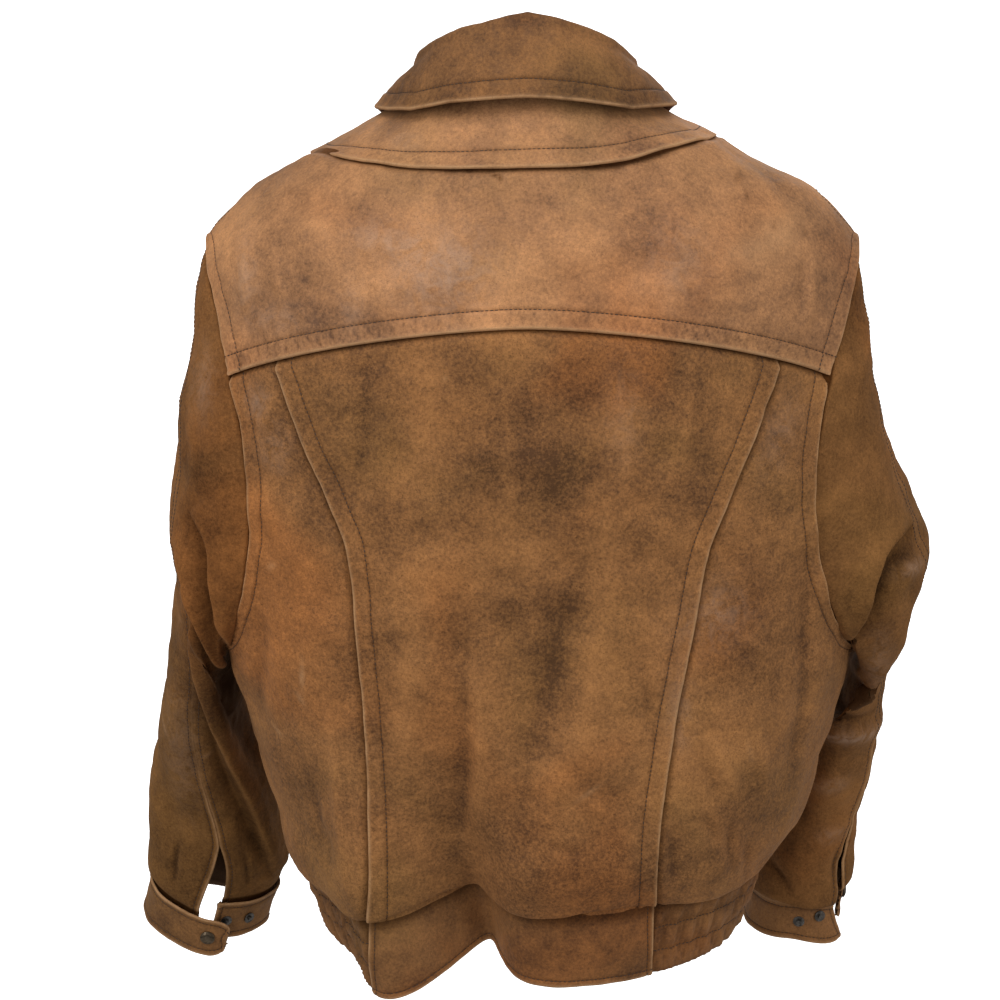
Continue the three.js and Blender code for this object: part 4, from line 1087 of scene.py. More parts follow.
LEFT_SLEEVE_BLOTS = (
    # The darker patches under the arm and beside the upper fold are painted shade; the lighter ones on the
    # folds' raised sides are painted light.
    ("tone", -1, -0.20, -247, -505, 14, 36),
    ("tone", -1, -0.14, -262, -385, 12, 36),
    ("shine", -1, 0.35, -247, -235, 10, 26),
    ("tone", -1, 0.10, -240, -400, 8, 36),
    ("tone", -1, 0.06, -286, -460, 14, 50),
    ("rub", -1, 0.50, -303, -546, 1.5, 10, 30),
    ("rub", -1, 0.50, -268, -568, 7, 1.6, 25),
    ("rub", -1, 0.30, -285, -442, 3, 2),
    ("shine", -1, 0.25, -288, -560, 14, 60),
)
RIGHT_SLEEVE_BLOTS = (
    # Painted shade along the body, under the arm and in the elbow's fold; the shine patches on the ridges
    # carry painted highlights, and the lighter patch is painted light.
    ("groove", -1, 0.30, 212, -620, 8, 70, -6),
    ("tone", -1, -0.20, 258, -505, 12, 36),
    ("tone", -1, -0.16, 226, -580, 9, 60),
    ("tone", -1, -0.16, 292, -376, 14, 10),
    ("shine", -1, 0.70, 304, -389, 10, 6),
    ("shine", -1, 0.80, 268, -546, 28, 7, -8),
    ("shine", -1, 0.45, 254, -595, 14, 8),
    ("shine", -1, 0.45, 262, -651, 14, 7),
    ("shine", -1, 0.35, 280, -470, 12, 30),
    ("tone", -1, 0.08, 268, -590, 20, 60),
)


SLEEVE_FOLDS_WEAR_AND_SHADING = {
    "left": (LEFT_SLEEVE_FOLDS, LEFT_SLEEVE_LAPS, LEFT_SLEEVE_BLOTS),
    "right": (RIGHT_SLEEVE_FOLDS, RIGHT_SLEEVE_LAPS, RIGHT_SLEEVE_BLOTS),
}


# ------------------------------------------------------------------ meshes


def mesh_object(name, vertices, faces, material, smooth_angle=55.0):
    """An object from vertices in millimetres and an array of quads or triangles."""
    mesh = bpy.data.meshes.new(name)
    sides = faces.shape[1]
    mesh.vertices.add(len(vertices))
    mesh.vertices.foreach_set("co", (np.asarray(vertices, float) * MM).ravel())
    mesh.loops.add(faces.size)
    mesh.loops.foreach_set("vertex_index", faces.astype(np.int32).ravel())
    mesh.polygons.add(len(faces))
    mesh.polygons.foreach_set("loop_start", np.arange(0, faces.size, sides, dtype=np.int32))
    mesh.polygons.foreach_set("loop_total", np.full(len(faces), sides, dtype=np.int32))
    mesh.update(calc_edges=True)
    mesh.validate()
    mesh.polygons.foreach_set("use_smooth", np.ones(len(mesh.polygons), dtype=bool))
    mesh.set_sharp_from_angle(angle=math.radians(smooth_angle))
    mesh.materials.append(material)
    made = bpy.data.objects.new(name, mesh)
    bpy.context.scene.collection.objects.link(made)
    return made


def grid_faces(rows, cols, offset=0):
    index = np.arange(rows * cols).reshape(rows, cols) + offset
    a, b = index[:-1, :-1], index[:-1, 1:]
    c, d = index[1:, 1:], index[1:, :-1]
    return np.stack([a, b, c, d], axis=-1).reshape(-1, 4)


def rim_faces(rows, cols, offset):
    """Quads that close the border between a grid and its copy that starts at `offset`."""
    index = np.arange(rows * cols).reshape(rows, cols)
    loop = np.concatenate([index[0, :-1], index[:-1, -1], index[-1, :0:-1], index[:0:-1, 0]])
    after = np.roll(loop, -1)
    return np.stack([after, loop, loop + offset, after + offset], axis=-1)


def leather_piece(name, node, patch, wall, slot):
    """Turns a patch into a closed shell that stands for its frame node."""
    outer = patch.placed()
    normals = patch.normals_of(outer)
    inner = outer - normals * wall
    rows, cols = outer.shape[:2]
    count = rows * cols
    faces = np.concatenate([
        grid_faces(rows, cols),
        grid_faces(rows, cols, count)[:, ::-1],
        rim_faces(rows, cols, count),
    ])
    if patch.flip:
        faces = faces[:, ::-1]
    vertices = np.concatenate([outer.reshape(-1, 3), inner.reshape(-1, 3)])
    made = mesh_object(name, vertices, faces, finish_of(slot))
    # Per point: stains, dye and painted shading; gloss with a painted highlight; rubbed wear; painted shade
    # and tears.
    wear = np.stack([patch.tone * 0.5 + 0.5, patch.shine, patch.rub, patch.groove], axis=-1).reshape(-1, 4)
    # The inner faces are darker.
    inside = np.tile([0.32, 0.0, 0.0, 0.0], (count, 1))
    layer = made.data.attributes.new("wear", "FLOAT_COLOR", "POINT")
    layer.data.foreach_set("color", np.clip(np.concatenate([wear, inside]), 0, 1).ravel())
    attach(made, "jacket")
    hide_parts(node)
    width, length = (size * MM for size in patch.flat)
    area = patch.area * MM * MM
    # A slanting end isn't all width: the cut's rectangle is at most twice its area.
    width = min(width, 2 * area / length)
    area = min(area, width * length)
    return made


# ------------------------------------------------------------------ stitching


def capsule():
    """A stitch of unit length along x and unit radius across."""
    profile = ((0.0, 0.0), (0.06, 0.6), (0.2, 1.0), (0.8, 1.0), (0.94, 0.6), (1.0, 0.0))
    sides = 6
    ring = np.arange(sides) * 2 * math.pi / sides
    vertices = np.array([(x, r * math.cos(a), r * math.sin(a)) for x, r in profile for a in ring])
    faces = []
    for j in range(len(profile) - 1):
        for i in range(sides):
            n = (i + 1) % sides
            faces.append((j * sides + i, j * sides + n, (j + 1) * sides + n, (j + 1) * sides + i))
    return vertices, np.array(faces)


def along_path(points, normals, pitch):
    """Even places along a path, with the direction and the normal there."""
    lengths = np.concatenate([[0], np.cumsum(np.linalg.norm(np.diff(points, axis=0), axis=1))])
    places = np.arange(pitch * 0.5, lengths[-1] - pitch * 0.5, pitch)
    at = np.stack([np.interp(places, lengths, points[:, n]) for n in range(3)], axis=-1)
    ahead = np.stack([np.interp(places + pitch * 0.3, lengths, points[:, n]) for n in range(3)], axis=-1)
    up = unit(np.stack([np.interp(places, lengths, normals[:, n]) for n in range(3)], axis=-1))
    return at, unit(ahead - at), up


def copies(shape, at, along, up, scale):
    """Copies of a small shape at places, turned so that its x runs along and its z up."""
    vertices, faces = shape
    up = unit(up - along * np.sum(up * along, axis=-1, keepdims=True))
    side = np.cross(up, along)
    basis = np.stack([along, side, up], axis=1)
    scaled = vertices[None] * np.asarray(scale)[..., None, :]
    placed = at[:, None] + scaled @ basis
    offsets = np.arange(len(at)) * len(vertices)
    return placed.reshape(-1, 3), (faces[None] + offsets[:, None, None]).reshape(-1, faces.shape[1])


def stitching(name, paths, sizes):
    """Thread in the sunk stitch lines: one small capsule for each stitch."""
    vertices, faces, start = [], [], 0
    rng = np.random.default_rng(len(name))
    for points, normals in paths:
        at, along, up = along_path(points, normals, sizes.stitch_pitch)
        length = sizes.stitch_pitch * rng.uniform(0.62, 0.78, len(at))
        scale = np.stack([length, np.full(len(at), sizes.thread), np.full(len(at), sizes.thread)], axis=-1)
        made, sides = copies(capsule(), at + up * 0.12, along, up, scale)
        vertices.append(made)
        faces.append(sides + start)
        start += len(made)
    thread = mesh_object(name, np.concatenate(vertices), np.concatenate(faces), finish_of("thread"))
    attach(thread, "jacket")
    return thread


# ------------------------------------------------------------------ materials


class Graph:
    """Short calls for a material's nodes."""

    def __init__(self, name):
        self.material = bpy.data.materials.new(name)
        self.material.use_nodes = True
        self.tree = self.material.node_tree
        self.tree.nodes.clear()
        self.shader = self.node("ShaderNodeBsdfPrincipled")
        output = self.node("ShaderNodeOutputMaterial")
        self.join(self.shader.outputs[0], output.inputs[0])

    def node(self, kind, **settings):
        made = self.tree.nodes.new(kind)
        for key, value in settings.items():
            setattr(made, key, value)
        return made

    def join(self, source, target):
        self.tree.links.new(source, target)

    def feed(self, target, value):
        if isinstance(value, bpy.types.NodeSocket):
            self.join(value, target)
        else:
            target.default_value = value

    def place(self):
        return self.node("ShaderNodeTexCoord").outputs["Object"]

    def stretched(self, scale):
        mapping = self.node("ShaderNodeMapping")
        self.join(self.place(), mapping.inputs["Vector"])
        mapping.inputs["Scale"].default_value = scale
        return mapping.outputs[0]

    def noise(self, scale, detail=3.0, rough=0.55, warp=0.0, where=None):
        made = self.node("ShaderNodeTexNoise")
        self.join(where or self.place(), made.inputs["Vector"])
        made.inputs["Scale"].default_value = scale
        made.inputs["Detail"].default_value = detail
        made.inputs["Roughness"].default_value = rough
        made.inputs["Distortion"].default_value = warp
        return made.outputs["Fac"]

    def cells(self, scale, where=None):
        made = self.node("ShaderNodeTexVoronoi", feature="DISTANCE_TO_EDGE")
        self.join(where or self.place(), made.inputs["Vector"])
        made.inputs["Scale"].default_value = scale
        return made.outputs["Distance"]

    def maths(self, operation, a, b=0.0, clamp=False):
        made = self.node("ShaderNodeMath", operation=operation, use_clamp=clamp)
        self.feed(made.inputs[0], a)
        self.feed(made.inputs[1], b)
        return made.outputs[0]

    def span(self, value, low, high, out_low=0.0, out_high=1.0):
        made = self.node("ShaderNodeMapRange", interpolation_type="SMOOTHSTEP")
        self.feed(made.inputs["Value"], value)
        ends = {"From Min": low, "From Max": high, "To Min": out_low, "To Max": out_high}
        for name, number in ends.items():
            made.inputs[name].default_value = number
        return made.outputs[0]

    def blend(self, factor, a, b, how="MIX"):
        made = self.node("ShaderNodeMix", data_type="RGBA", blend_type=how)
        self.feed(made.inputs[0], factor)
        self.feed(made.inputs[6], a)
        self.feed(made.inputs[7], b)
        return made.outputs[2]

    def bump(self, height, strength, distance, below=None):
        made = self.node("ShaderNodeBump")
        self.feed(made.inputs["Height"], height)
        made.inputs["Strength"].default_value = strength
        made.inputs["Distance"].default_value = distance
        if below is not None:
            self.join(below, made.inputs["Normal"])
        return made.outputs[0]


def shade(colour, factor):
    return tuple(min(1.0, c * factor) for c in colour[:3]) + (1.0,)


def leather_material(name, base, grain=1.0, gloss=0.0):
    """Distressed leather: mottled dye, dark grain, rubbed edges, stains, painted shade and highlights, and a
    fine pebbled surface.
    """
    g = Graph(name)
    wear = g.node("ShaderNodeAttribute", attribute_name="wear", attribute_type="GEOMETRY")
    split = g.node("ShaderNodeSeparateColor")
    g.join(wear.outputs["Color"], split.inputs[0])
    tone, shine, rub = split.outputs[0], split.outputs[1], split.outputs[2]
    groove = wear.outputs["Alpha"]

    cloud = g.noise(9.0, 4.0, 0.6, 0.5)
    patchy = g.noise(30.0, 5.0, 0.62, 0.8)
    mottle = g.noise(95.0, 4.0, 0.65, 0.5)
    fine = g.noise(420.0, 3.0, 0.7)
    speck = g.noise(950.0, 2.0, 0.6)

    level = g.maths("ADD", g.maths("MULTIPLY", g.maths("SUBTRACT", cloud, 0.5), 1.45), 0.5)
    level = g.maths("ADD", level, g.maths("MULTIPLY", g.maths("SUBTRACT", patchy, 0.5), 0.68))
    level = g.maths("ADD", level, g.maths("MULTIPLY", g.maths("SUBTRACT", mottle, 0.5), 0.55))
    level = g.maths("ADD", level, g.maths("MULTIPLY", g.maths("SUBTRACT", fine, 0.5), 1.30 * grain))
    # Stains and dye patches, and painted shade and light along folds, puckers, gathers and under the arms,
    # come in from the mesh.
    level = g.maths("ADD", level, g.maths("MULTIPLY", g.maths("SUBTRACT", tone, 0.5), 2.9), clamp=True)

    dark = (base[0] * 0.40, base[1] * 0.38, base[2] * 0.42, 1)
    light = (base[0] * 1.72, base[1] * 1.70, base[2] * 1.66, 1)
    colour = g.blend(level, dark, light)

    # Olive and red casts wander over the hide.
    cast = g.noise(5.2, 2.0, 0.5, 0.6)
    colour = g.blend(g.span(cast, 0.50, 0.68, 0.0, 0.60), colour, (0.76, 0.84, 0.76, 1), "MULTIPLY")
    colour = g.blend(g.span(cast, 0.50, 0.30, 0.0, 0.60), colour, (1.12, 0.88, 0.68, 1), "MULTIPLY")

    # A painted highlight makes the shiny patches paler and greyer; worn edges show light tan.
    streaks = g.noise(60.0, 4.0, 0.65, 1.2)
    streaked_gloss_and_highlight = g.maths("MULTIPLY", shine, g.span(streaks, 0.30, 0.66), clamp=True)
    colour = g.blend(g.maths("MULTIPLY", streaked_gloss_and_highlight, 0.85), colour, (0.43, 0.255, 0.155, 1))
    worn = g.maths("MULTIPLY", rub, g.span(g.noise(55.0, 4.0, 0.6), 0.25, 0.62, 0.35, 1.0), clamp=True)
    colour = g.blend(g.maths("MULTIPLY", worn, 0.85), colour, (0.54, 0.305, 0.145, 1))

    # Dark grains where the finish is broken.
    pits = g.span(speck, 0.44, 0.30, 0.0, 0.52 * grain)
    pits = g.maths("MULTIPLY", pits, g.span(patchy, 0.30, 0.60, 0.45, 1.0))
    colour = g.blend(pits, colour, (0.24, 0.20, 0.19, 1), "MULTIPLY")
    crumbs = g.span(g.noise(260.0, 3.0, 0.7), 0.40, 0.28, 0.0, 0.38 * grain)
    colour = g.blend(crumbs, colour, (0.36, 0.31, 0.30, 1), "MULTIPLY")
    # Painted shade: the leather darkens in creases, sunk stitch lines, under laps and overhanging edges, and
    # in the yoke's tears.
    colour = g.blend(groove, colour, (0.20, 0.14, 0.10, 1), "MULTIPLY")
    g.join(colour, g.shader.inputs["Base Color"])

    rough = g.span(mottle, 0.3, 0.7, 0.62 - gloss, 0.80 - gloss)
    rough = g.maths("SUBTRACT", rough, g.maths("MULTIPLY", streaked_gloss_and_highlight, 0.32))
    rough = g.maths("ADD", rough, g.maths("MULTIPLY", g.maths("SUBTRACT", fine, 0.5), 0.25))
    g.join(rough, g.shader.inputs["Roughness"])
    level = g.maths("ADD", g.maths("MULTIPLY", streaked_gloss_and_highlight, 0.50), 0.17 + gloss)
    # Less reflection where the shade is painted.
    level = g.maths("MULTIPLY", level, g.maths("SUBTRACT", 1.0, groove), clamp=True)
    g.join(level, g.shader.inputs["Specular IOR Level"])

    # A soft nap keeps the leather brown where it is seen from the side.
    g.shader.inputs["Sheen Weight"].default_value = 0.22
    g.shader.inputs["Sheen Roughness"].default_value = 0.5
    g.shader.inputs["Sheen Tint"].default_value = (0.55, 0.31, 0.15, 1)

    crease = g.cells(150.0, g.stretched((1.0, 1.0, 0.7)))
    pebble = g.cells(760.0)
    normal = g.bump(g.noise(34.0, 4.0, 0.55, 1.1), 0.42, 0.0022)
    normal = g.bump(g.span(crease, 0.0, 0.12), 0.10, 0.0006, normal)
    normal = g.bump(g.noise(240.0, 4.0, 0.6, 0.6), 0.42, 0.0008, normal)
    normal = g.bump(g.span(pebble, 0.0, 0.25), 0.28, 0.0003, normal)
    g.join(normal, g.shader.inputs["Normal"])
    return g.material


def thread_material():
    g = Graph("waxed_thread")
    twist = g.noise(900.0, 2.0)
    colour = g.blend(twist, (0.030, 0.014, 0.007, 1), (0.085, 0.040, 0.018, 1))
    g.join(colour, g.shader.inputs["Base Color"])
    g.join(g.span(twist, 0.3, 0.7, 0.45, 0.7), g.shader.inputs["Roughness"])
    return g.material


def metal_material(name, colour, rough):
    """Darkened metal: scratched and rubbed bright in places."""
    g = Graph(name)
    tarnish = g.noise(220.0, 5.0, 0.65, 0.8)
    scratch = g.noise(900.0, 3.0, 0.6, 0.0, g.stretched((1.0, 6.0, 1.0)))
    tint = g.blend(g.span(tarnish, 0.35, 0.70), shade(colour, 0.55), shade(colour, 1.5))
    g.join(tint, g.shader.inputs["Base Color"])
    g.join(g.span(tarnish, 0.3, 0.7, rough + 0.14, rough - 0.10), g.shader.inputs["Roughness"])
    g.shader.inputs["Metallic"].default_value = 1.0
    g.join(g.bump(scratch, 0.18, 0.0002), g.shader.inputs["Normal"])
    return g.material


def tape_material(colour):
    """Woven zip tape in a close twill."""
    g = Graph("zip_tape_twill")
    made = g.node("ShaderNodeTexWave", wave_type="BANDS", bands_direction="DIAGONAL")
    g.join(g.place(), made.inputs["Vector"])
    made.inputs["Scale"].default_value = 420.0
    weave = made.outputs["Fac"]
    fuzz = g.noise(500.0, 3.0)
    tint = g.blend(g.maths("MULTIPLY", weave, fuzz), shade(colour, 0.7), shade(colour, 1.8))
    g.join(tint, g.shader.inputs["Base Color"])
    g.join(g.span(fuzz, 0.3, 0.7, 0.75, 0.95), g.shader.inputs["Roughness"])
    g.join(g.bump(weave, 0.5, 0.0004), g.shader.inputs["Normal"])
    return g.material


MADE = {}


def finish_of(kind):
    """The material of a slot, made once from the settings."""
    look = bpy.context.scene.blouson
    makers = {
        "leather_yoke": lambda: leather_material("leather_yoke_worn", look.yoke_colour, 0.8, 0.06),
        "leather_back": lambda: leather_material("leather_back_worn", look.back_colour, 1.15, 0.0),
        "leather_front": lambda: leather_material("leather_front_worn", look.front_colour, 1.0, 0.0),
        "leather_sleeves": lambda: leather_material("leather_sleeves_worn", look.sleeve_colour, 0.9, -0.12),
        "leather_bands": lambda: leather_material("leather_bands_worn", look.band_colour, 0.8, 0.02),
        "thread": thread_material,
        "zip_tape": lambda: tape_material(look.tape_colour),
        "aged_brass": lambda: metal_material("aged_brass_dark", look.brass_colour, 0.42),
        "bright_stud": lambda: metal_material("stud_nickel", look.stud_colour, 0.36),
    }
    if kind not in MADE:
        MADE[kind] = makers[kind]()
    return MADE[kind]


# ------------------------------------------------------------------ settings


def length_mm(name, description, default, low, high):
    return FloatProperty(name=name, description=description, default=default, min=low, max=high, precision=2)


def colour(name, description, default):
    return FloatVectorProperty(
        name=name, description=description, default=default, size=3, min=0, max=1, subtype="COLOR"
    )


class BlousonSettings(bpy.types.PropertyGroup):
    """Sizes in millimetres and colours of the blouson."""

    wall: length_mm("Leather", "Thickness of the body's leather in millimetres", 2.0, 1.0, 4.0)
    band_wall: length_mm("Doubled leather", "Thickness of the cuffs and collar in millimetres", 2.8, 1.5, 5.0)
    stitch_pitch: length_mm("Stitch pitch", "Length of one stitch and its gap in millimetres", 3.5, 2.0, 8.0)
    thread: length_mm("Thread", "Half thickness of the thread in millimetres", 0.42, 0.2, 1.0)
    fine_step: length_mm("Back grid", "Grid step on the back in millimetres", 2.3, 1.5, 8.0)
    plain_step: length_mm("Plain grid", "Grid step on the front and sleeves in millimetres", 2.9, 2.0, 10.0)
    crumple: length_mm("Crumple", "Strength of the leather's soft unevenness", 1.0, 0.0, 3.0)
    yoke_colour: colour("Yoke", "Dye of the yoke and saddle", (0.365, 0.176, 0.074))
    back_colour: colour("Back", "Dye of the back panels", (0.262, 0.118, 0.040))
    front_colour: colour("Fronts", "Dye of the two fronts", (0.262, 0.120, 0.042))
    sleeve_colour: colour("Sleeves", "Dye of the sleeves", (0.190, 0.086, 0.029))
    band_colour: colour("Bands", "Dye of the hem band, cuffs and collar", (0.245, 0.112, 0.039))
    tape_colour: colour("Zip tape", "Colour of the woven zip tape", (0.06, 0.036, 0.022))
    brass_colour: colour("Brass", "Colour of the darkened hardware", (0.14, 0.105, 0.07))
    stud_colour: colour("Studs", "Colour of the press studs' posts", (0.15, 0.135, 0.12))


# ------------------------------------------------------------------ pieces of the back


def edges(first, last, low, high):
    return {"first": first, "last": last, "low": low, "high": high}


def back_centre_patch(sizes):
    surface = body_surface(shaped_line(-1), shaped_line(1), yoke_level)
    patch = Patch(surface, edges(BAND_EDGE, BAND_EDGE, TUCKED_EDGE, TUCKED_EDGE), sizes.fine_step)
    crumple(patch, BODY_GRAIN, sizes.crumple)
    dress(patch, BACK_FOLDS, (), BACK_BLOTS)
    balloon(patch)
    raise_band(patch, "first", 0.22, 21)
    raise_band(patch, "last", 0.22, 22)
    tuck(patch, "high")
    return patch


class BLOUSON_OT_yoke(bpy.types.Operator):
    """Build the neck saddle and the back yoke"""

    bl_idname = "blouson.yoke"
    bl_label = "Saddle and yoke"

    def execute(self, context):
        sizes = context.scene.blouson
        saddle = Patch(saddle_surface, edges(FLAT_EDGE, FLAT_EDGE, BAND_EDGE, FLAT_EDGE), sizes.fine_step)
        crumple(saddle, 31, sizes.crumple * 0.8)
        dress(saddle, (), (), SADDLE_BLOTS)
        # The raised edge sinks away where it meets the shoulder seams.
        level = 1 - 0.8 * np.exp(-(((np.abs(saddle.t - 0.5) - 0.25) / 0.05) ** 2))
        raise_band(saddle, "low", 0.2, 33, share=level)
        leather_piece("saddle_leather", "neck_saddle", saddle, sizes.wall, "leather_yoke")

        yoke = Patch(yoke_surface, edges(BAND_EDGE, BAND_EDGE, BAND_EDGE, TUCKED_EDGE), sizes.fine_step)
        crumple(yoke, BODY_GRAIN, sizes.crumple)
        dress(yoke, YOKE_FOLDS, (), YOKE_BLOTS)
        raise_band(yoke, "low", 0.42, 43)
        on_arm = smooth((4.2 / 6 - yoke.v) / 0.08)
        raise_band(yoke, "first", 0.22, 44, share=on_arm)
        raise_band(yoke, "last", 0.22, 45, share=on_arm)
        tuck(yoke, "high", share=0.35 + 0.65 * smooth(np.minimum(yoke.t, 1 - yoke.t) / 0.12))
        leather_piece("yoke_leather", "back_yoke", yoke, sizes.wall, "leather_yoke")
        paths = [saddle.line("low", BAND_STITCH), yoke.line("low", BAND_STITCH)]
        for edge in ("first", "last"):
            # Above the armhole the yoke's ends are plain shoulder seams.
            paths.append(tuple(part[: len(part) * 2 // 3] for part in yoke.line(edge, BAND_STITCH)))
        stitching("yoke_thread", paths, sizes)
        return {"FINISHED"}


class BLOUSON_OT_back(bpy.types.Operator):
    """Build the centre back and the two side backs"""

    bl_idname = "blouson.back"
    bl_label = "Back panels"

    def execute(self, context):
        sizes = context.scene.blouson
        centre = back_centre_patch(sizes)
        leather_piece("back_centre_leather", "back_centre", centre, sizes.wall, "leather_back")
        paths = [centre.line("first", BAND_STITCH), centre.line("last", BAND_STITCH)]
        for side, word in ((-1, "left"), (1, "right")):
            lines = (side_line(side), shaped_line(side))[::-side]
            outer, inner = ("first", "last") if side < 0 else ("last", "first")
            across = {outer: BAND_EDGE, inner: TUCKED_EDGE}
            spacing = edges(across["first"], across["last"], TUCKED_EDGE, TUCKED_EDGE)
            patch = Patch(body_surface(*lines, yoke_level), spacing, sizes.fine_step)
            crumple(patch, BODY_GRAIN, sizes.crumple)
            dress(patch, BACK_FOLDS, (), BACK_BLOTS)
            balloon(patch)
            on_arm = smooth((patch.v - 5 / 11) / 0.03)
            raise_band(patch, outer, 0.22, 53 + side, share=on_arm)
            tuck(patch, inner)
            tuck(patch, "high")
            leather_piece(
                f"back_side_{word}_leather", f"back_side_{word}", patch, sizes.wall, "leather_back"
            )
            points, normals = patch.line(outer, BAND_STITCH)
            start = int(len(points) * 0.44)
            paths.append((points[start:], normals[start:]))
        stitching("back_thread", paths, sizes)
        return {"FINISHED"}


class BLOUSON_OT_fronts(bpy.types.Operator):
    """Build the two fronts"""

    bl_idname = "blouson.fronts"
    bl_label = "Fronts"

    def execute(self, context):
        sizes = context.scene.blouson
        paths = []
        for side, word in ((-1, "left"), (1, "right")):
            zipped, outer = ("first", "last") if side < 0 else ("last", "first")
            lines = (zip_line(side), front_side_line(side))[::-side]
            across = {zipped: NARROW_EDGE, outer: BAND_EDGE}
            spacing = edges(across["first"], across["last"], TUCKED_EDGE, TUCKED_EDGE)
            patch = Patch(body_surface(*lines, saddle_level), spacing, sizes.plain_step)
            crumple(patch, BODY_GRAIN, sizes.crumple)
            dress(patch, FRONT_FOLDS, (), FRONT_BLOTS)
            balloon(patch)
            raise_band(patch, zipped, 0.12, 63 + side, **NARROW_BAND)
            on_arm = smooth((patch.v - 5 / 17) / 0.03) * smooth((15.2 / 17 - patch.v) / 0.02)
            raise_band(patch, outer, 0.22, 65 + side, share=on_arm)
            tuck(patch, outer, share=smooth((patch.v - 15 / 17) / 0.02))
            tuck(patch, "high")
            leather_piece(
                f"front_{word}_leather", f"front_{word}", patch, sizes.wall, "leather_front"
            )
            points, normals = patch.line(outer, BAND_STITCH)
            start, end = int(len(points) * 0.27), int(len(points) * 0.9)
            paths += [(points[start:end], normals[start:end]), patch.line(zipped, NARROW_STITCH)]
        stitching("front_thread", paths, sizes)
        return {"FINISHED"}


class BLOUSON_OT_hem(bpy.types.Operator):
    """Build the hem band with its ruched elastic sides"""

    bl_idname = "blouson.hem"
    bl_label = "Hem band"

    def execute(self, context):
        sizes = context.scene.blouson
        surface = hem_surface(lambda level: shaped_seam(-1, level), lambda level: shaped_seam(1, level))
        back = Patch(surface, edges(NARROW_EDGE, NARROW_EDGE, NARROW_EDGE, TUCKED_EDGE), sizes.fine_step)
        crumple(back, 71, sizes.crumple * 0.7)
        for n, edge in enumerate(("first", "last", "low")):
            raise_band(back, edge, 0.1, 72 + n, **NARROW_BAND)
        tuck(back, "high")
        shade_under(back)
        leather_piece("hem_back_leather", "hem_back", back, sizes.wall, "leather_bands")
        paths = [back.line(edge, NARROW_STITCH) for edge in ("first", "last", "low")]
        for side, word in ((-1, "left"), (1, "right")):
            paths += self.elastic(sizes, side, word)
            paths += self.tab(sizes, side, word)
        stitching("hem_thread", paths, sizes)
        return {"FINISHED"}

    def elastic(self, sizes, side, word):
        seam, tab = (lambda level: shaped_seam(side, level)), (lambda level: hem_tab_end(side, level))
        surface = hem_surface(tab, seam) if side < 0 else hem_surface(seam, tab)
        patch = Patch(surface, edges(TUCKED_EDGE, TUCKED_EDGE, FLAT_EDGE, TUCKED_EDGE), sizes.fine_step)
        channel = patch.low / 22.5
        run = patch.first
        rng = np.random.default_rng(81 + side)
        phase = rng.uniform(0, 6.28, 6)
        gathers = 0.0
        for n, (pitch, strength) in enumerate(((23.0, 0.9), (13.0, 0.8), (8.1, 0.5))):
            drift = 5 * np.sin(patch.low / 13 + phase[n]) + 14 * np.sin(run / 53 + phase[n + 3])
            gathers = gathers + (1 - 2 * np.abs(np.sin((run + drift) * math.pi / pitch)) ** 0.8) * strength
        row = np.abs(np.sin(math.pi * np.clip(channel, 0.02, 2.98))) ** 0.5
        patch.height += 1.15 * gathers * (0.35 + 0.65 * row) + 2.4 * row - 1.2
        # Painted light on the gathers' ridges, and painted shade in their hollows and between the rows.
        patch.tone += 0.05 * gathers * row - 0.08 * (1 - row)
        patch.groove = np.maximum(patch.groove, 0.3 * np.clip(-gathers - 0.9, 0, 1))
        patch.groove = np.maximum(patch.groove, 0.45 * (1 - row))
        for edge in ("first", "last", "high"):
            tuck(patch, edge)
        shade_under(patch)
        leather_piece(
            f"hem_elastic_{word}_leather", f"hem_elastic_{word}", patch, sizes.wall, "leather_bands",
        )
        return [patch.line("low", 22.5), patch.line("low", 45.0)]

    def tab(self, sizes, side, word):
        tab, zipped = (lambda level: hem_tab_end(side, level)), (lambda level: zip_angle(side, level))
        surface = hem_surface(zipped, tab) if side < 0 else hem_surface(tab, zipped)
        patch = Patch(surface, edges(NARROW_EDGE, NARROW_EDGE, NARROW_EDGE, TUCKED_EDGE), sizes.plain_step)
        crumple(patch, 91 + side, sizes.crumple * 0.6)
        for n, edge in enumerate(("first", "last", "low")):
            raise_band(patch, edge, 0.1, 93 + n, **NARROW_BAND)
        tuck(patch, "high")
        shade_under(patch)
        leather_piece(
            f"hem_front_{word}_leather", f"hem_front_{word}", patch, sizes.wall, "leather_bands"
        )
        return [patch.line(edge, NARROW_STITCH) for edge in ("first", "last", "low")]


class BLOUSON_OT_sleeves(bpy.types.Operator):
    """Build the sleeves"""

    bl_idname = "blouson.sleeves"
    bl_label = "Sleeves"

    def execute(self, context):
        sizes = context.scene.blouson
        for word, sleeve in SLEEVES.items():
            flip = sleeve["side"] < 0
            paths = []
            for piece in ("upper", "under"):
                seams = (FLAT_EDGE, NARROW_EDGE) if piece == "upper" else (NARROW_EDGE, FLAT_EDGE)
                spacing = edges(*seams, DEEP_EDGE, DEEP_EDGE)
                patch = Patch(sleeve_surface(sleeve, piece), spacing, sizes.plain_step, flip)
                crumple(patch, 101 + sleeve["side"], sizes.crumple * 1.2)
                dress(patch, *SLEEVE_FOLDS_WEAR_AND_SHADING[word])
                patch.height *= 0.3 + 0.7 * smooth(patch.high / 14)
                if word == "right":
                    sleeve_balloon(patch, 5.5, 9.0)
                tuck(patch, "high", depth=3.2)
                tuck(patch, "low", depth=1.4)
                edge = "last" if piece == "upper" else "first"
                # The seam's raised edge shows along the slit, and lies flat above it.
                share = (1.0 if piece == "upper" else 0.5) * (0.2 + 0.8 * smooth((patch.v - 0.72) / 0.08))
                raise_band(patch, edge, 0.15, 103, share=share, **NARROW_BAND)
                name = f"sleeve_{piece}_{word}"
                leather_piece(f"{name}_leather", name, patch, sizes.wall, "leather_sleeves")
                paths.append(patch.line(edge, NARROW_STITCH))
            stitching(f"sleeve_{word}_thread", paths, sizes)
        return {"FINISHED"}


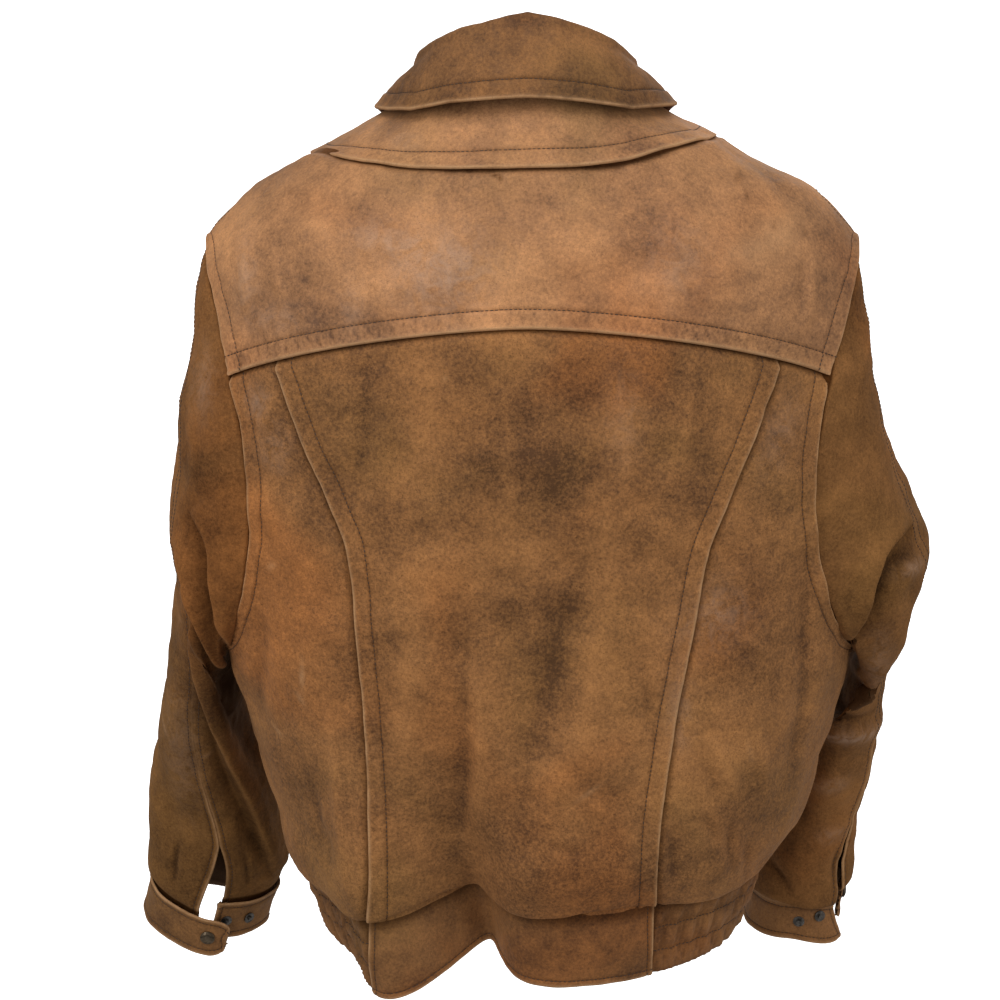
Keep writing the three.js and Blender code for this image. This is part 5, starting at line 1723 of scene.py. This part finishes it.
class BLOUSON_OT_cuffs(bpy.types.Operator):
    """Build the cuff straps"""

    bl_idname = "blouson.cuffs"
    bl_label = "Cuffs"

    def execute(self, context):
        sizes = context.scene.blouson
        paths = []
        for word, sleeve in SLEEVES.items():
            spacing = edges(NARROW_EDGE, NARROW_EDGE, NARROW_EDGE, NARROW_EDGE)
            patch = Patch(strap_surface(sleeve), spacing, sizes.fine_step, sleeve["side"] < 0)
            crumple(patch, 111 + sleeve["side"], sizes.crumple * 0.7)
            for n, edge in enumerate(("first", "last", "low", "high")):
                raise_band(patch, edge, 0.1, 113 + n, **NARROW_BAND)
                paths.append(patch.line(edge, NARROW_STITCH))
            leather_piece(
                f"cuff_{word}_leather", f"cuff_{word}", patch, sizes.band_wall, "leather_bands"
            )
        stitching("cuff_thread", paths, sizes)
        return {"FINISHED"}


class BLOUSON_OT_collar(bpy.types.Operator):
    """Build the collar's stand and fall"""

    bl_idname = "blouson.collar"
    bl_label = "Collar"

    def execute(self, context):
        sizes = context.scene.blouson
        stand = Patch(stand_surface, edges(FLAT_EDGE, FLAT_EDGE, FLAT_EDGE, FLAT_EDGE), sizes.plain_step)
        crumple(stand, 121, sizes.crumple * 0.4)
        leather_piece("stand_leather", "collar_stand", stand, sizes.wall, "leather_bands")
        fall = Patch(fall_surface, edges(BAND_EDGE, BAND_EDGE, BAND_EDGE, FLAT_EDGE), sizes.fine_step)
        crumple(fall, 123, sizes.crumple * 0.8)
        fall.tone -= 0.17
        raise_band(fall, "low", 0.15, 124)
        raise_band(fall, "first", 0.12, 125)
        raise_band(fall, "last", 0.12, 126)
        leather_piece("fall_leather", "collar_fall", fall, sizes.band_wall, "leather_bands")
        paths = [fall.line(edge, BAND_STITCH) for edge in ("low", "first", "last")]
        stitching("collar_thread", paths, sizes)
        return {"FINISHED"}


class BLOUSON_OT_hardware(bpy.types.Operator):
    """Finish the zip and the press studs"""

    bl_idname = "blouson.hardware"
    bl_label = "Zip and studs"

    def execute(self, context):
        for name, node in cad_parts.items():
            if name.startswith(("snap_cap", "zip_slider", "zip_pull", "zip_chain")):
                kind = "aged_brass"
            elif name.startswith("snap_stud"):
                kind = "bright_stud"
            elif name.startswith("zip_tape"):
                kind = "zip_tape"
            else:
                continue
            node.data.materials.clear()
            node.data.materials.append(finish_of(kind))
        return {"FINISHED"}


# ------------------------------------------------------------------ studio

# Soft lights: name, place and aim in metres, size in metres, power in watts.
LAMPS = (
    ("top_light", (-0.3, -1.4, 2.2), (0, 0, -0.3), (2.2, 1.6), 43),
    ("back_left_light", (-2.2, -2.0, 0.6), (0, 0, -0.35), (1.6, 2.0), 25),
    ("back_right_light", (2.3, -1.8, 0.4), (0, 0, -0.35), (1.6, 2.0), 18),
    ("front_light", (0.4, 2.6, 1.2), (0, 0, -0.35), (2.4, 2.0), 16),
)
WORLD_STRENGTH = 0.36
CAMERA_PLACE = (0, -1.86, 0.092)  # in metres
CAMERA_TILT = 13.1  # degrees down from level
CAMERA_LENS = 85.9
CAMERA_SHIFT = -0.028


class BLOUSON_OT_studio(bpy.types.Operator):
    """Set up the pale floor, the soft lights and the camera"""

    bl_idname = "blouson.studio"
    bl_label = "Studio"

    def execute(self, context):
        scene = context.scene
        g = Graph("studio_white")
        g.shader.inputs["Roughness"].default_value = 0.9
        g.shader.inputs["Specular IOR Level"].default_value = 0.1
        pale = g.noise(3.0, 2.0)
        g.join(g.blend(pale, (0.90, 0.90, 0.90, 1), (0.92, 0.92, 0.92, 1)), g.shader.inputs["Base Color"])
        g.shader.inputs["Emission Color"].default_value = (1, 1, 1, 1)
        g.shader.inputs["Emission Strength"].default_value = 1.0
        # A floor that curves up into a backdrop.
        width, depth, rise, radius, level = 9000, 3200, 4200, 1800, -1000
        bend = [
            (depth - radius + radius * math.sin(a), level + radius - radius * math.cos(a))
            for a in np.linspace(0, math.pi / 2, 16)
        ]
        profile = [(-5000, level), *bend, (depth, level + rise)]
        points = np.array([(x, y, z) for y, z in profile for x in (-width, width)])
        rows = len(profile)
        floor = mesh_object("studio_floor", points, grid_faces(rows, 2), g.material, 80)
        # The bright floor is seen, but doesn't light the jacket.
        floor.visible_diffuse = False
        floor.visible_glossy = False

        def lamp(name, place, aim, size, power):
            data = bpy.data.lights.new(name, "AREA")
            data.shape = "RECTANGLE"
            data.size, data.size_y = size
            data.energy = power
            made = bpy.data.objects.new(name, data)
            made.location = place
            made.rotation_euler = (Vector(aim) - Vector(place)).to_track_quat("-Z", "Y").to_euler()
            scene.collection.objects.link(made)

        for settings in LAMPS:
            lamp(*settings)

        world = bpy.data.worlds.new("studio_world")
        scene.world = world
        world.use_nodes = True
        background = world.node_tree.nodes["Background"]
        background.inputs[0].default_value = (1.0, 1.0, 1.0, 1)
        background.inputs[1].default_value = WORLD_STRENGTH

        data = bpy.data.cameras.new("view_camera")
        data.lens = CAMERA_LENS
        data.sensor_width = 36
        data.shift_x = CAMERA_SHIFT
        camera = bpy.data.objects.new("view_camera", data)
        camera.location = CAMERA_PLACE
        camera.rotation_euler = (math.radians(90 - CAMERA_TILT), 0, 0)
        scene.collection.objects.link(camera)
        scene.camera = camera
        scene.view_settings.view_transform = "Standard"
        return {"FINISHED"}


# ------------------------------------------------------------------ add-on


class BLOUSON_PT_panel(bpy.types.Panel):
    """The blouson's sizes, colours and building steps"""

    bl_idname = "BLOUSON_PT_panel"
    bl_label = "Blouson"
    bl_space_type = "VIEW_3D"
    bl_region_type = "UI"
    bl_category = "Blouson"

    def draw(self, context):
        layout = self.layout
        for name in BlousonSettings.__annotations__:
            layout.prop(context.scene.blouson, name)
        for operator in OPERATORS:
            layout.operator(operator.bl_idname)


OPERATORS = (
    BLOUSON_OT_yoke,
    BLOUSON_OT_back,
    BLOUSON_OT_fronts,
    BLOUSON_OT_hem,
    BLOUSON_OT_sleeves,
    BLOUSON_OT_cuffs,
    BLOUSON_OT_collar,
    BLOUSON_OT_hardware,
    BLOUSON_OT_studio,
)
CLASSES = (BlousonSettings, *OPERATORS, BLOUSON_PT_panel)


def register():
    for cls in CLASSES:
        bpy.utils.register_class(cls)
    bpy.types.Scene.blouson = PointerProperty(type=BlousonSettings)


def unregister():
    del bpy.types.Scene.blouson
    for cls in reversed(CLASSES):
        bpy.utils.unregister_class(cls)


def main():
    register()
    for operator in OPERATORS:
        group, name = operator.bl_idname.split(".")
        getattr(getattr(bpy.ops, group), name)()


if __name__ == "__main__":
    main()
